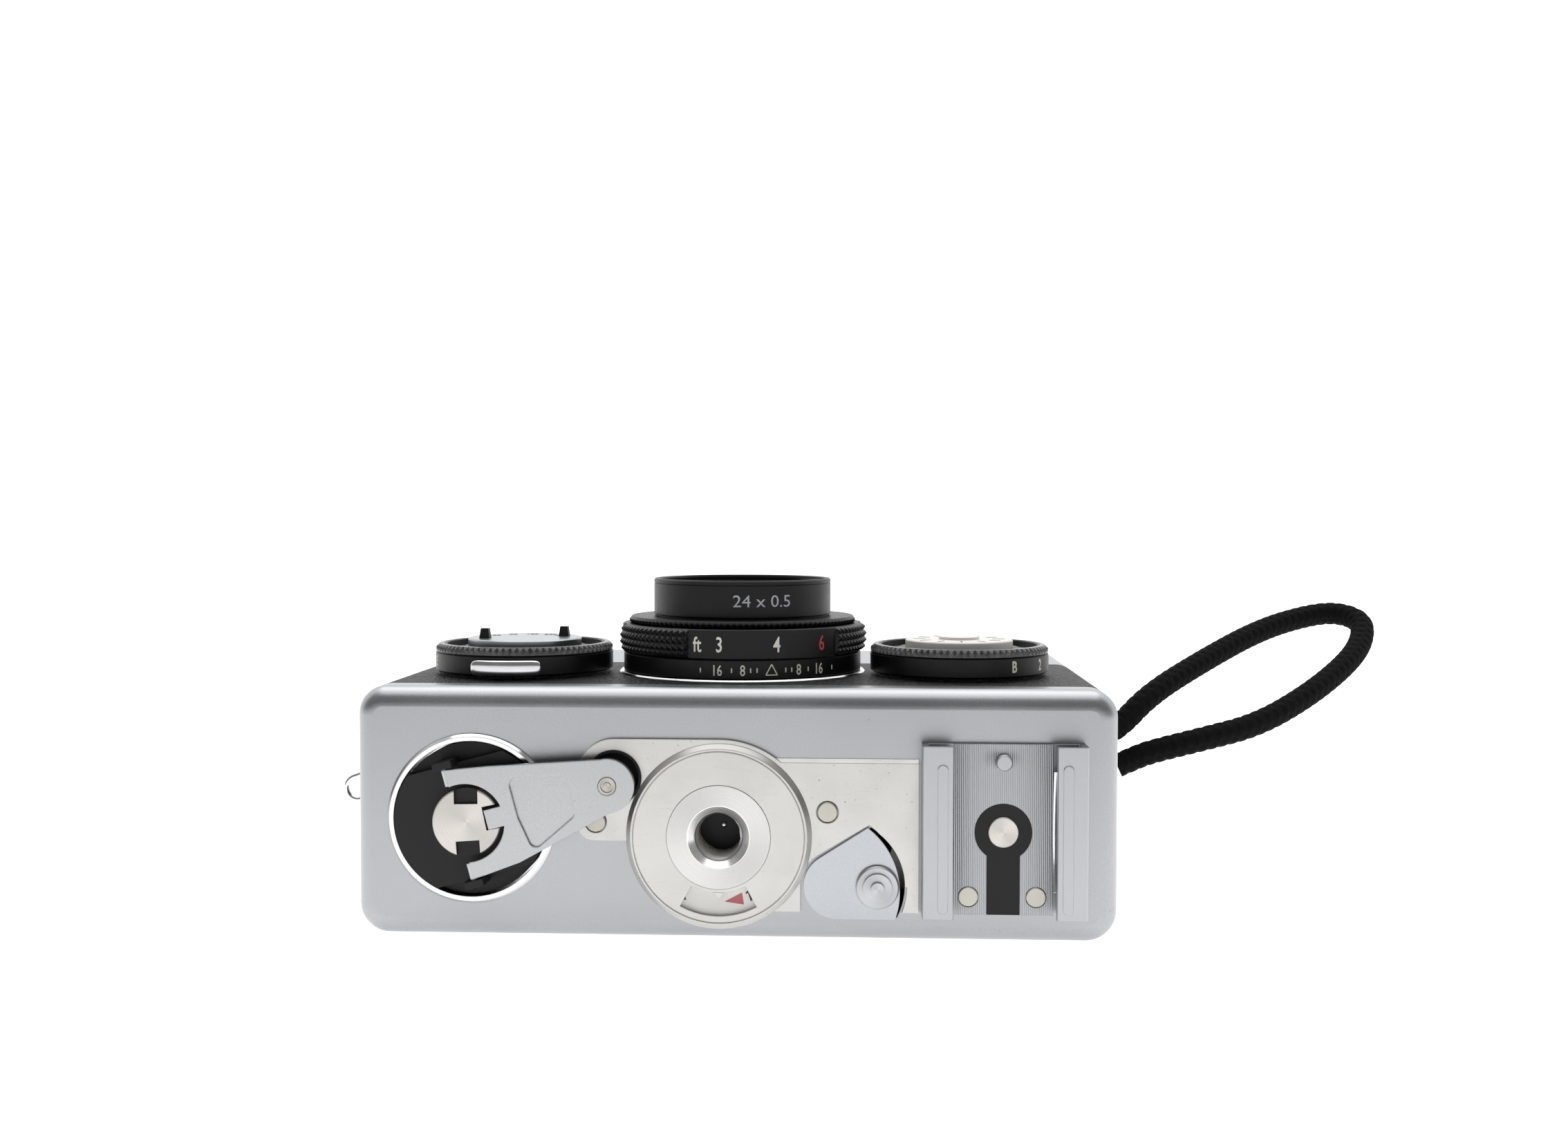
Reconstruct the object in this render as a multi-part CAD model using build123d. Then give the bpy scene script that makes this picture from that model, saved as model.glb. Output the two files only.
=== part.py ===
"""Compact 35 mm film camera with a collapsing lens, lying on its back.

Frame: X runs along the camera's width, +Y from its base towards its top plate, and +Z out of
the lens. The origin is the middle of the back, which is the face the camera rests on.
Sizes are in millimetres. Levels on the base are given as "proud", the distance out from the
base's flat face along -Y, so a negative level is inside the camera.
"""

import os
from math import cos, pi, radians, sin, tan

from build123d import *

# ---------------------------------------------------------------- driving dimensions
# Body
body_width = 97.0
body_height = 60.0
body_depth = 32.0
front_corner_radius = 3.6
back_corner_radius = 4.0
base_edge_radius = 2.5
top_edge_radius = 2.0
wall = 1.0
leather = 0.5
tray_height = 5.0
top_cover_height = 24.0
back_cover_side = 9.0
seam = 0.15
back_tongue = 2.0

# Lens
lens_x = -0.6
lens_height = 24.5
lens_tube_radius = 14.2
lens_tube_wall = 0.8
sleeve_wall = 0.9
running_gap = 0.06
lens_travel = 18.0
tube_engagement = 3.6
flange_lip = 2.14
flange_thickness = 0.3
depth_ring_wall = 2.44
depth_ring_height = 2.6
focus_ring_gap = 0.2
focus_ring_wall = 2.45
focus_ring_height = 3.9
grip_height = 0.45
front_ring_step = 0.95
front_ring_height = 1.0
filter_radius = 12.45
filter_height = 5.25
filter_thread_radius = 11.75
filter_thread_depth = 1.6
filter_seat_radius = 11.35
filter_bore_radius = 10.9
filter_glass_thickness = 1.5
front_bore_radius = 11.3
front_cell_radius = 10.8
front_cell_bore = 6.2
shutter_case_wall = 1.2
blade_clearance = 0.54
blade_thickness = 0.08
aperture_opening = 2.6
shutter_opening = 1.2
knurl_count = 120
knurl_depth = 0.22
ring_gap = 0.05

# Front dials
dial_radius = 12.25
dial_spacing_gap = 0.75
dial_drop = 3.5
dial_lift = 0.45
dial_skirt_height = 3.0
dial_rim_height = 0.8
dial_groove_depth = 0.9
dial_groove_inner = 8.3
dial_groove_outer = 10.7
dial_tooth_count = 84
dial_tooth_depth = 0.4
speed_disc_radius = 7.85
type_disc_radius = 7.4
dial_disc_height = 0.6
speed_pin_width = 1.4
speed_pin_height = 1.35
speed_pin_circle = 5.6
lock_tab_width = 9.7
lock_tab_height = 2.1
lock_tab_depth = 1.0
lock_travel = 0.5

# Rewind unit on the base
rewind_inset = 15.1
rewind_z = 15.3
bezel_radius = 10.84
bezel_width = 0.9
rewind_disc_radius = 9.7
rewind_well_depth = 3.2
rewind_hub_radius = 4.33
rewind_hub_proud = 3.0
hub_key_angles = (91, -86)
hub_key_gap = 0.04
crank_angle = 15.1
crank_length = 18.5
crank_thickness = 0.9
crank_level = 2.6
crank_nose_radius = 3.4
crank_hinge_back = 0.9
crank_fork_radius = 4.95
crank_fork_half_width = 7.1
crank_knuckle_radius = 0.45
crank_pin_radius = 0.3
crank_ear = 0.9
crank_tongue_gap = 0.12
crank_knob_radius = 2.7
crank_knob_height = 1.1
pocket_radius = 3.5
pocket_depth = 2.6
pocket_shift_x = 0.4
pocket_shift_z = 0.6

# Base plate, counter and tripod bush
base_plate_thickness = 0.6
boss_x = -1.8
boss_z = 13.4
boss_radius = 11.75
boss_proud = 1.3
boss_chamfer = 0.6
counter_radius = 10.45
counter_wall = 0.5
counter_cap_thickness = 0.5
counter_disc_thickness = 0.5
counter_window_angle = 29.0
bush_radius = 6.55
bush_proud = 1.4
bush_depth = 4.6
tripod_thread_radius = 3.175
tripod_chamfer = 0.75
rivet_radius = 1.28
rivet_gap = 0.14
rivet_stem_radius = 0.78
plate_rise = 9.9
plate_crown_radius = 12.25
plate_lobe_reach = 4.6
plate_lobe_drop = 0.7

# Back lock lever
lever_x_from_boss = 14.9
lever_z_from_boss = -6.2
lever_hub_radius = 4.2
lever_reach = 8.4
lever_thickness = 0.62
lever_swing_gap = 0.15
lever_slot_width = 1.2
lever_knob_radius = 2.75
lever_knob_at = 5.1

# Accessory shoe
shoe_inset = 14.6
shoe_z = 14.65
shoe_width = 20.4
shoe_length = 21.5
shoe_lip_gap = 12.7
shoe_slot_height = 2.15
shoe_metal = 0.8
shoe_insulator_radius = 3.56
shoe_stem_half_width = 2.04
shoe_contact_radius = 1.93
shoe_key_drop = 0.35
shoe_spring_rise = 0.82

# Film chambers and chassis
cassette_radius = 12.5
chamber_clearance = 0.2
cassette_length = 43.8
film_gate_width = 36.0
film_gate_height = 24.0
film_plane = 3.3
frame_rise = 7.2
frame_roof = 1.6
spool_radius = 4.9
sprocket_radius = 5.6

# Top plate
finder_x = 2.0
finder_width = 17.0
finder_height = 10.5
eyepiece_width = 9.0
eyepiece_height = 6.6
cell_x = 25.0
cell_width = 7.4
cell_height = 7.4
release_x = -33.0
release_z = 14.0
release_radius = 3.6
release_proud = 1.6
release_travel = 1.2
cable_thread_radius = 1.35
lens_button_x = -19.5
lens_button_z = 8.6
lens_button_radius = 2.2
meter_window_width = 11.0
meter_window_depth = 4.6
meter_window_z = 22.0
meter_offset = 9.5
finder_rise = 14.0
advance_shaft_radius = 3.0
lens_button_proud = 1.1
advance_radius = 7.6
advance_thickness = 1.7
advance_reach = 18.5
battery_x = -23.3
battery_z = 20.5
battery_radius = 7.7
battery_height = 6.0
battery_depth = 1.4

# Strap fittings and strap cord
lug_y = 17.0
lug_z = 15.5
lug_length = 3.2
lug_eye_radius = 1.75
lug_eye_half = 0.7
lug_hole_radius = 1.0
ring_wire_radius = 0.45
ring_half_width = 1.85
ring_length = 15.9
ring_droop = 19.4
cord_diameter = 3.7
cord_gap = 1.5
cord_lead = 2.5
clasp_start = 2.6
clasp_length = 2.6
clasp_thickness = 4.6
clasp_cheek = 0.8
clasp_rise = 24.0

# ---------------------------------------------------------------- derived places
half_width = body_width / 2
base_y = -body_height / 2
top_y = body_height / 2
tray_y = base_y + tray_height
cover_y = top_y - top_cover_height
front_z = body_depth
lens_y = base_y + lens_height
rewind_x = -(half_width - rewind_inset)
takeup_x = half_width - rewind_inset
shoe_x = half_width - shoe_inset
lever_x = boss_x + lever_x_from_boss
lever_z = boss_z + lever_z_from_boss
sleeve_radius = lens_tube_radius + running_gap
flange_radius = sleeve_radius + sleeve_wall + flange_lip
depth_ring_radius = sleeve_radius + depth_ring_wall
focus_bore_radius = lens_tube_radius + focus_ring_gap
focus_ring_radius = focus_bore_radius + focus_ring_wall
front_ring_radius = focus_ring_radius - front_ring_step
dial_x = focus_ring_radius + grip_height + dial_spacing_gap + dial_radius
dial_y = lens_y - dial_drop
dial_z = front_z + dial_lift
flange_z = front_z + flange_thickness
depth_ring_z = flange_z + ring_gap
focus_ring_z = depth_ring_z + depth_ring_height + ring_gap
front_ring_z = focus_ring_z + focus_ring_height
filter_z = front_ring_z + front_ring_height
tube_back_z = front_z - lens_travel - tube_engagement
case_bore_radius = lens_tube_radius - lens_tube_wall - running_gap - shutter_case_wall
blade_reach = case_bore_radius - blade_clearance
chamber_radius = cassette_radius + chamber_clearance
film_y = lens_y
pocket_x = rewind_x + crank_length * cos(radians(crank_angle)) + pocket_shift_x
pocket_z = rewind_z + crank_length * sin(radians(crank_angle)) + pocket_shift_z
plate_right = shoe_x - shoe_width / 2 - 0.3
plate_low_z = shoe_z - shoe_length / 2
ring_eye_x = half_width + lug_length - lug_eye_radius


# ---------------------------------------------------------------- helpers
def cyl_z(x, y, z0, z1, r):
    """Cylinder along Z between two heights."""
    return Pos(x, y, (z0 + z1) / 2) * Cylinder(r, z1 - z0)


def ring_z(x, y, z0, z1, r_out, r_in):
    """Tube along Z."""
    return cyl_z(x, y, z0, z1, r_out) - cyl_z(x, y, z0 - 1, z1 + 1, r_in)


def cyl_y(x, z, y0, y1, r):
    """Cylinder along Y between two heights."""
    return Pos(x, (y0 + y1) / 2, z) * Rot(90, 0, 0) * Cylinder(r, abs(y1 - y0))


def disc(x, z, proud0, proud1, r):
    """Cylinder standing on the base between two proud levels."""
    return cyl_y(x, z, base_y - proud0, base_y - proud1, r)


def box(x0, x1, y0, y1, z0, z1):
    """Block between two corners."""
    centre = Pos((x0 + x1) / 2, (y0 + y1) / 2, (z0 + z1) / 2)
    return centre * Box(abs(x1 - x0), abs(y1 - y0), abs(z1 - z0))


def plate_plane(proud):
    """Sketch plane on the base: local x is X, local y is Z, and it extrudes outwards (-Y)."""
    return Plane(origin=(0, base_y - proud, 0), x_dir=(1, 0, 0), z_dir=(0, -1, 0))


def slab(sketch, proud0, proud1):
    """Extrudes a base sketch, drawn in X and Z, between two proud levels."""
    return extrude(plate_plane(proud0) * sketch, proud1 - proud0)


def section(inset):
    """Outline of the body seen from its base, in X and Z, moved in by inset."""
    width = body_width - 2 * inset
    depth = body_depth - 2 * inset
    outline = Pos(0, body_depth / 2) * Rectangle(width, depth)
    middle = body_depth / 2
    front = outline.vertices().filter_by(lambda v: v.Y > middle)
    outline = fillet(front, front_corner_radius - inset)
    back = outline.vertices().filter_by(lambda v: v.Y < inset + 0.01)
    return fillet(back, back_corner_radius - inset)


def band(inset, y0, y1):
    """Solid with the body's outline, moved in by inset, between two heights along Y."""
    plane = Plane(origin=(0, y1, 0), x_dir=(1, 0, 0), z_dir=(0, -1, 0))
    return extrude(plane * section(inset), y1 - y0)


def place_on_crank(u, v):
    """Base position of a point u along the crank's arm and v across it, from the hub."""
    a = radians(crank_angle)
    return rewind_x + u * cos(a) - v * sin(a), rewind_z + u * sin(a) + v * cos(a)


def end_edges(solid, y):
    """Edges that lie in the plane at this height along Y."""
    return solid.edges().filter_by_position(Axis.Y, y - 0.01, y + 0.01)


def teeth(count, r_tip, r_root, share=0.5):
    """Star outline of straight V teeth."""
    points = []
    for i in range(count):
        a = radians(360 * i / count)
        b = radians(360 * (i + share) / count)
        points.append((r_tip * cos(a), r_tip * sin(a)))
        points.append((r_root * cos(b), r_root * sin(b)))
    return make_face(Polyline(*points, close=True))


def export(parts):
    """Writes one STEP file for each piece."""
    os.makedirs("parts", exist_ok=True)
    for name, shape in parts.items():
        export_step(shape, os.path.join("parts", name + ".step"))
        print(name, len(shape.solids()), round(shape.volume, 2))


# ---------------------------------------------------------------- body shells
def back_cover():
    """Removable back: the base tray, the back wall and short side returns, in one casting."""
    tray = band(0, base_y, tray_y)
    tray = fillet(end_edges(tray, base_y), base_edge_radius)
    tray -= band(wall, base_y + wall, tray_y + 1)
    skin = leather
    wall_band = band(skin, tray_y - wall, cover_y) - band(skin + wall, tray_y - 2 * wall, cover_y + 1)
    keep = box(-half_width, half_width, tray_y - 2 * wall, cover_y - seam, 0, back_cover_side)
    tongue_inset = wall + seam
    tongue = band(tongue_inset, cover_y - 3, cover_y + back_tongue)
    tongue -= band(tongue_inset + 0.6, cover_y - 4, cover_y + back_tongue + 1)
    tongue_end = half_width - 8
    low = cover_y - 3
    high = cover_y + back_tongue
    tongue &= box(-tongue_end, -24, low, high, 0, 3) + box(24, tongue_end, low, high, 0, 3)
    cover = tray + (wall_band & keep) + tongue
    cover -= disc(rewind_x, rewind_z, -2 * wall, 1, bezel_radius - bezel_width + 0.45)
    cover -= disc(boss_x, boss_z, -2 * wall, 1, counter_radius + 0.05)
    cover -= disc(pocket_x, pocket_z, -2 * wall, 1, pocket_radius + 0.05)
    for x, z in rivet_places() + shoe_rivet_places():
        cover -= disc(x, z, -2 * wall, 1, rivet_stem_radius + 0.02)
    cover -= disc(lever_x, lever_z, -2 * wall, 1, 1.2)
    slot = sector(-28, 88, lever_reach + lever_swing_gap) - Circle(lever_reach - lever_slot_width)
    cover -= slab(Pos(lever_x, lever_z) * slot, -2 * wall, 1)
    cover -= disc(shoe_x, shoe_z, -2 * wall, 1, shoe_contact_radius + 0.6)
    return cover - flange_seat()


def flange_seat():
    """Shallow seat in the front that the lens flange lies in."""
    return cyl_z(lens_x, lens_y, front_z - leather - 0.02, front_z + 1, flange_radius + 0.05)


def leather_band(low_z, high_z):
    """Leather skin of the body's middle band between two depths."""
    skin = band(0, tray_y + seam / 2, cover_y - seam / 2)
    skin -= band(leather, tray_y - 1, cover_y + 1)
    return skin & box(-half_width, half_width, tray_y, cover_y, low_z, high_z)


def back_leather():
    return leather_band(0, back_cover_side)


def front_leather():
    skin = leather_band(back_cover_side + seam, front_z)
    skin -= cyl_z(lens_x, lens_y, front_z - 2, front_z + 1, flange_radius + 0.05)
    for x in (-dial_x, dial_x):
        skin -= cyl_z(lens_x + x, dial_y, front_z - 2, front_z + 1, 4.05)
    return skin - lock_slot()


def front_shell():
    """Metal front and sides behind the leather."""
    low = tray_y + seam
    high = cover_y - seam
    shell = band(leather, low, high) - band(leather + wall, low - 1, high + 1)
    shell &= box(-half_width, half_width, low, high, back_cover_side + seam, front_z)
    shell -= cyl_z(lens_x, lens_y, front_z - 4, front_z + 1, sleeve_radius + sleeve_wall + 0.02)
    for x in (-dial_x, dial_x):
        shell -= cyl_z(lens_x + x, dial_y, front_z - 3, front_z + 1, 2.05)
    return shell - lock_slot()


def lock_slot():
    """Slot through the front for the foot of the aperture lock tab."""
    x = lens_x - dial_x
    y = dial_y - dial_radius + 1.6
    return box(x - 2.1, x + 2.1, y - 0.75 - lock_travel, y + 0.75, front_z - 3, front_z + 1)


def top_cover():
    """Top housing with its windows and the holes for the controls."""
    cover = band(0, cover_y, top_y)
    cover = fillet(end_edges(cover, top_y), top_edge_radius)
    cover -= band(wall, cover_y - 1, top_y - wall)
    y0 = finder_y() - finder_height / 2
    y1 = finder_y() + finder_height / 2
    x0 = finder_x - finder_width / 2
    cover -= box(x0, x0 + finder_width, y0, y1, front_z - 2 * wall, front_z + 1)
    half = cell_width / 2
    low = finder_y() - cell_height / 2
    cover -= box(cell_x - half, cell_x + half, low, low + cell_height, front_z - 2 * wall, front_z + 1)
    ex = eyepiece_width / 2
    ey = eyepiece_height / 2
    cover -= box(finder_x - ex, finder_x + ex, finder_y() - ey, finder_y() + ey, -1, 2 * wall)
    cover -= cyl_y(release_x, release_z, top_y - 2 * wall, top_y + 1, release_radius + running_gap)
    cover -= cyl_y(lens_button_x, lens_button_z, top_y - 2 * wall, top_y + 1,
                   lens_button_radius + running_gap)
    mw = meter_window_width / 2
    md = meter_window_depth / 2
    cover -= box(meter_x() - mw, meter_x() + mw, top_y - 2 * wall, top_y + 1, meter_window_z - md,
                 meter_window_z + md)
    cover -= cyl_y(takeup_x, rewind_z, top_y - 2 * wall, top_y + 1, advance_shaft_radius + running_gap)
    cover -= cyl_z(lens_x, lens_y, front_z - 4, front_z + 1, sleeve_radius + sleeve_wall + 0.02)
    cover -= flange_seat()
    for side in (-1, 1):
        cover -= Pos(side * half_width, lug_y, lug_z) * Rot(0, 90, 0) * Cylinder(1.0, 4)
    return cover


def finder_y():
    """Height of the viewfinder's axis."""
    return cover_y + finder_rise


def meter_x():
    """Middle of the meter's window in the top plate."""
    return finder_x + meter_offset


# ---------------------------------------------------------------- chassis and film path
def chassis():
    """Die-cast frame: cassette and take-up chambers, the lens well and the film gate."""
    side = half_width - leather - wall - 0.25
    low = base_y + frame_rise
    high = film_y + cassette_length / 2 + 2 + frame_roof
    front = front_z - leather - wall - 0.2
    block = box(-side, side, low, high, film_plane, front)
    corners = block.edges().filter_by(Axis.Y)
    block = fillet(corners, 3.2)
    for x, r in ((rewind_x, chamber_radius), (takeup_x, chamber_radius - 0.4)):
        top = high - frame_roof
        block -= cyl_y(x, rewind_z, low - 1, top, r)
        block -= box(x - r, x + r, low - 1, top, 0, rewind_z)
    well = front_z - leather - wall - 0.2
    block -= cyl_z(lens_x, lens_y, 8.0, well + 1, sleeve_radius + sleeve_wall + 0.1)
    gate = box(-film_gate_width / 2, film_gate_width / 2, film_y - film_gate_height / 2,
               film_y + film_gate_height / 2, 0, 8.5)
    block -= Pos(lens_x, 0, 0) * gate
    low_cut = cover_y + 2
    block -= box(lens_x - 19, lens_x + 19, low_cut + 9, high + 1, 0, front_z)
    block -= box(finder_x - 12.5, finder_x + 12.5, low_cut + 5.4, high + 1, 0, front_z)
    block -= box(cell_x - 5, cell_x + 5, finder_y() - 4.5, high + 1, front_z - 7, front_z)
    block -= box(sprocket_x() - 6.1, sprocket_x() + 6.1, film_y - 18.1, film_y + 18.1, 0, 14.7)
    block -= cyl_y(takeup_x, rewind_z, high - 3, high + 1, 2.6)
    for x in (-dial_x, dial_x):
        block -= cyl_z(lens_x + x, dial_y, front - 1.2, front + 1, 4.6)
    foot_x = lens_x - dial_x
    block -= box(foot_x - 3, foot_x + 3, dial_y - dial_radius - 1, dial_y, front - 1.2, front + 1)
    return block


def sprocket_x():
    """Axis of the film sprocket, between the film gate and the take-up chamber."""
    return lens_x + film_gate_width / 2 + 7.2


def takeup_spool():
    """Take-up spool: a slotted drum between two flanges, on the advance lever's axis."""
    y0 = film_y - cassette_length / 2 + 2
    y1 = film_y + cassette_length / 2 - 1
    drum = cyl_y(takeup_x, rewind_z, y0, y1, spool_radius)
    drum += cyl_y(takeup_x, rewind_z, y0, y0 + 1, spool_radius + 4)
    drum += cyl_y(takeup_x, rewind_z, y1 - 1, y1, spool_radius + 4)
    drum += cyl_y(takeup_x, rewind_z, y1 - 1, top_y - wall - 0.4, 2.5)
    drum -= cyl_y(takeup_x, rewind_z, y0 - 1, y1 - 3, spool_radius - 1.6)
    slot = box(takeup_x - 1, takeup_x + 1, y0 + 4, y1 - 4, 0, rewind_z)
    return drum - slot


def film_sprocket():
    """Film sprocket: two rims of eight teeth on one shaft."""
    y0 = film_y - 17.6
    y1 = film_y + 17.6
    z = film_plane + sprocket_radius - 0.4
    roller = cyl_y(sprocket_x(), z, y0, y1, sprocket_radius - 2.6)
    for y in (film_y - 14.1, film_y + 14.1):
        roller += cyl_y(sprocket_x(), z, y - 1.6, y + 1.6, sprocket_radius - 0.9)
        for i in range(8):
            tooth = box(sprocket_radius - 1.4, sprocket_radius, -0.6, 0.6, -0.7, 0.7)
            roller += Pos(sprocket_x(), y, z) * Rot(0, 45 * i, 0) * tooth
    return roller


def pressure_plate():
    """Film pressure plate on the inside of the back, with four bowed springs riveted to it."""
    y = film_y
    plate = box(-20.5, 20.5, y - 15, y + 15, 2.35, 3.05)
    plate = fillet(plate.edges().filter_by(Axis.Z), 1.5)
    low = wall + leather + 0.02
    for x in (-11.0, 11.0):
        for dy in (-8.0, 8.0):
            plate += box(x - 1.6, x + 1.6, y + dy - 4.5, y + dy + 4.5, low, low + 0.3)
            plate += box(x - 1.6, x + 1.6, y + dy - 1, y + dy + 1, low, 2.4)
    return Pos(lens_x, 0, 0) * plate


# ---------------------------------------------------------------- lens
def lens_sleeve():
    """Fixed guide sleeve that the lens tube runs in, with the bright flange around its mouth."""
    back = front_z - lens_travel - 4
    sleeve = cyl_z(lens_x, lens_y, back, front_z, sleeve_radius + sleeve_wall)
    flange = cyl_z(lens_x, lens_y, front_z - leather, flange_z, flange_radius)
    flange = chamfer(flange.edges().filter_by(GeomType.CIRCLE).sort_by(Axis.Z)[-1], 0.2)
    return sleeve + flange - cyl_z(lens_x, lens_y, back - 1, flange_z + 1, sleeve_radius)


def lens_tube():
    """Sliding tube that carries the lens out and in."""
    z1 = depth_ring_z + depth_ring_height
    inner = lens_tube_radius - lens_tube_wall
    return ring_z(lens_x, lens_y, tube_back_z, z1, lens_tube_radius, inner)


def depth_ring():
    """Fixed ring of the barrel that carries the depth-of-field marks."""
    ring = ring_z(lens_x, lens_y, depth_ring_z, depth_ring_z + depth_ring_height, depth_ring_radius,
                  lens_tube_radius + running_gap)
    outer = ring.edges().filter_by(GeomType.CIRCLE).sort_by(SortBy.RADIUS)[-2:]
    return chamfer(outer, 0.15)


def focus_ring():
    """Focus ring: flat number bands and three raised grip bands."""
    z0 = focus_ring_z
    z1 = focus_ring_z + focus_ring_height
    ring = cyl_z(lens_x, lens_y, z0, z1, focus_ring_radius)
    grip = cyl_z(lens_x, lens_y, z0 + 0.5, z1 - 0.2, focus_ring_radius + grip_height)
    grip_edges = grip.edges().filter_by(GeomType.CIRCLE)
    grip = chamfer(grip_edges, 0.4)
    keep = Sketch()
    for start, span in grip_bands():
        keep += sector(start, span, focus_ring_radius + 3)
    ring += grip & (Pos(lens_x, lens_y, z0) * extrude(keep, focus_ring_height))
    return ring - cyl_z(lens_x, lens_y, z0 - 1, z1 + 1, focus_bore_radius)


def grip_bands():
    """Start and span, in degrees about +Z from +X, of the focus ring's grip bands."""
    return ((-38.0, 46.0), (82.0, 62.0), (196.0, 53.0))


def sector(start, span, reach):
    """Wedge face from the origin."""
    a = radians(start)
    b = radians(start + span)
    m = radians(start + span / 2)
    arc = ThreePointArc((reach * cos(a), reach * sin(a)), (reach * cos(m), reach * sin(m)),
                        (reach * cos(b), reach * sin(b)))
    sides = Polyline((reach * cos(b), reach * sin(b)), (0, 0), (reach * cos(a), reach * sin(a)))
    return make_face(arc + sides)


def front_ring():
    """Thin knurled ring in front of the focus ring."""
    star = teeth(knurl_count, front_ring_radius, front_ring_radius - knurl_depth)
    z0 = front_ring_z
    low = extrude(Pos(lens_x, lens_y, z0) * star, front_ring_height - 0.4)
    z1 = z0 + front_ring_height
    low += cyl_z(lens_x, lens_y, z1 - 0.4, z1, front_ring_radius - 0.6)
    return low - cyl_z(lens_x, lens_y, z0 - 1, z1 + 1, front_bore_radius)


def filter_ring():
    """Screw-in filter's ring, with a female thread at its front."""
    z0 = filter_z
    z1 = filter_z + filter_height
    ring = cyl_z(lens_x, lens_y, z0, z1, filter_radius)
    edges = ring.edges().filter_by(GeomType.CIRCLE).sort_by(Axis.Z)
    ring = chamfer(edges[-1], 0.3)
    ring -= cyl_z(lens_x, lens_y, z1 - filter_thread_depth, z1 + 1, filter_thread_radius)
    ring -= cyl_z(lens_x, lens_y, z0 - 1, z1, filter_bore_radius)
    return ring - cyl_z(lens_x, lens_y, filter_glass_z(), z1, filter_seat_radius)


def filter_glass_z():
    """Back face of the filter's glass."""
    return filter_z + 1.2


def filter_glass():
    z0 = filter_glass_z()
    return cyl_z(lens_x, lens_y, z0, z0 + filter_glass_thickness, filter_seat_radius - ring_gap)


def front_cell():
    """Black conical front cell that holds the front element and moves on the focus thread."""
    z0 = focus_ring_z - 1.0
    z1 = front_ring_z + 0.9
    cell = cyl_z(lens_x, lens_y, z0, z1, front_cell_radius)
    depth = 2.0
    cone = Cone(front_cell_bore + 0.6, front_cell_radius - 0.5, depth)
    cell -= Pos(lens_x, lens_y, z1 - depth / 2 + 0.1) * cone
    return cell - cyl_z(lens_x, lens_y, z0 - 1, z1 + 1, front_cell_bore)


def lens_element(z_mid, radius, edge, front_bulge, back_bulge):
    """Round lens: a cylinder trimmed by two spheres that bulge past its edge thickness."""
    front_sphere = (radius**2 + front_bulge**2) / (2 * front_bulge)
    back_sphere = (radius**2 + back_bulge**2) / (2 * back_bulge)
    blank = Cylinder(radius, edge + 2 * (front_bulge + back_bulge))
    blank &= Pos(0, 0, edge / 2 + front_bulge - front_sphere) * Sphere(front_sphere)
    blank &= Pos(0, 0, back_sphere - back_bulge - edge / 2) * Sphere(back_sphere)
    return Pos(lens_x, lens_y, z_mid) * blank


def front_element():
    return lens_element(focus_ring_z + 1.9, front_cell_bore - ring_gap, 1.6, 1.1, 0.3)


def rear_element():
    return lens_element(depth_ring_z - 7.4, 5.2, 1.0, 0.5, 0.9)


def shutter_case():
    """Leaf shutter case inside the lens tube."""
    z1 = depth_ring_z + 0.6
    z0 = depth_ring_z - 6.0
    case = cyl_z(lens_x, lens_y, z0, z1, case_bore_radius + shutter_case_wall)
    case -= cyl_z(lens_x, lens_y, z0 + 1.0, z1 - 2.6, case_bore_radius)
    case -= cyl_z(lens_x, lens_y, z0 - 1, z0 + 2, 5.3)
    return case - cyl_z(lens_x, lens_y, z1 - 3, z1 + 1, 4.65)


def blade_set(z, thickness, opening, count, outer):
    """Ring of overlapping leaf blades, each a crescent sheet on its own level."""
    blades = []
    for i in range(count):
        level = z + i * thickness * 1.25
        leaf = cyl_z(outer * 0.62, 0, level, level + thickness, outer * 0.36)
        leaf -= cyl_z(0, 0, level - 1, level + 1, opening)
        blades.append(Pos(lens_x, lens_y, 0) * Rot(0, 0, 360 / count * i) * leaf)
    return Compound(blades)


def aperture_blades():
    return blade_set(depth_ring_z - 2.9, blade_thickness, aperture_opening, 6, blade_reach)


def shutter_blades():
    return blade_set(depth_ring_z - 4.4, blade_thickness, shutter_opening, 5, blade_reach)


# ---------------------------------------------------------------- front dials
def dial_body(x):
    """Dial: plain skirt, toothed rim and a groove around its middle disc."""
    z0 = dial_z
    z1 = z0 + dial_skirt_height
    z2 = z1 + dial_rim_height
    skirt = cyl_z(x, dial_y, z0, z1, dial_radius)
    skirt = chamfer(skirt.edges().filter_by(GeomType.CIRCLE), 0.25)
    rim = extrude(Pos(x, dial_y, z1 - 0.3) * teeth(dial_tooth_count, dial_radius - 0.1,
                                                 dial_radius - 0.1 - dial_tooth_depth), dial_rim_height + 0.3)
    body = skirt + rim
    groove = ring_z(x, dial_y, z2 - dial_groove_depth, z2 + 1, dial_groove_outer, dial_groove_inner)
    body -= groove
    body -= cyl_z(x, dial_y, z2 - 0.5, z2 + 1, dial_groove_inner + 0.01)
    body += cyl_z(x, dial_y, front_z - wall - leather - 0.9, z0 + 0.5, 2.0)
    return body - cyl_z(x, dial_y, front_z - 4, z2 + 1, 1.0)


def aperture_dial():
    return dial_body(lens_x - dial_x)


def shutter_dial():
    return dial_body(lens_x + dial_x)


def dial_top_z():
    """Floor of the recess that the middle disc sits in."""
    return dial_z + dial_skirt_height + dial_rim_height - 0.5 + 0.02


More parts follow.
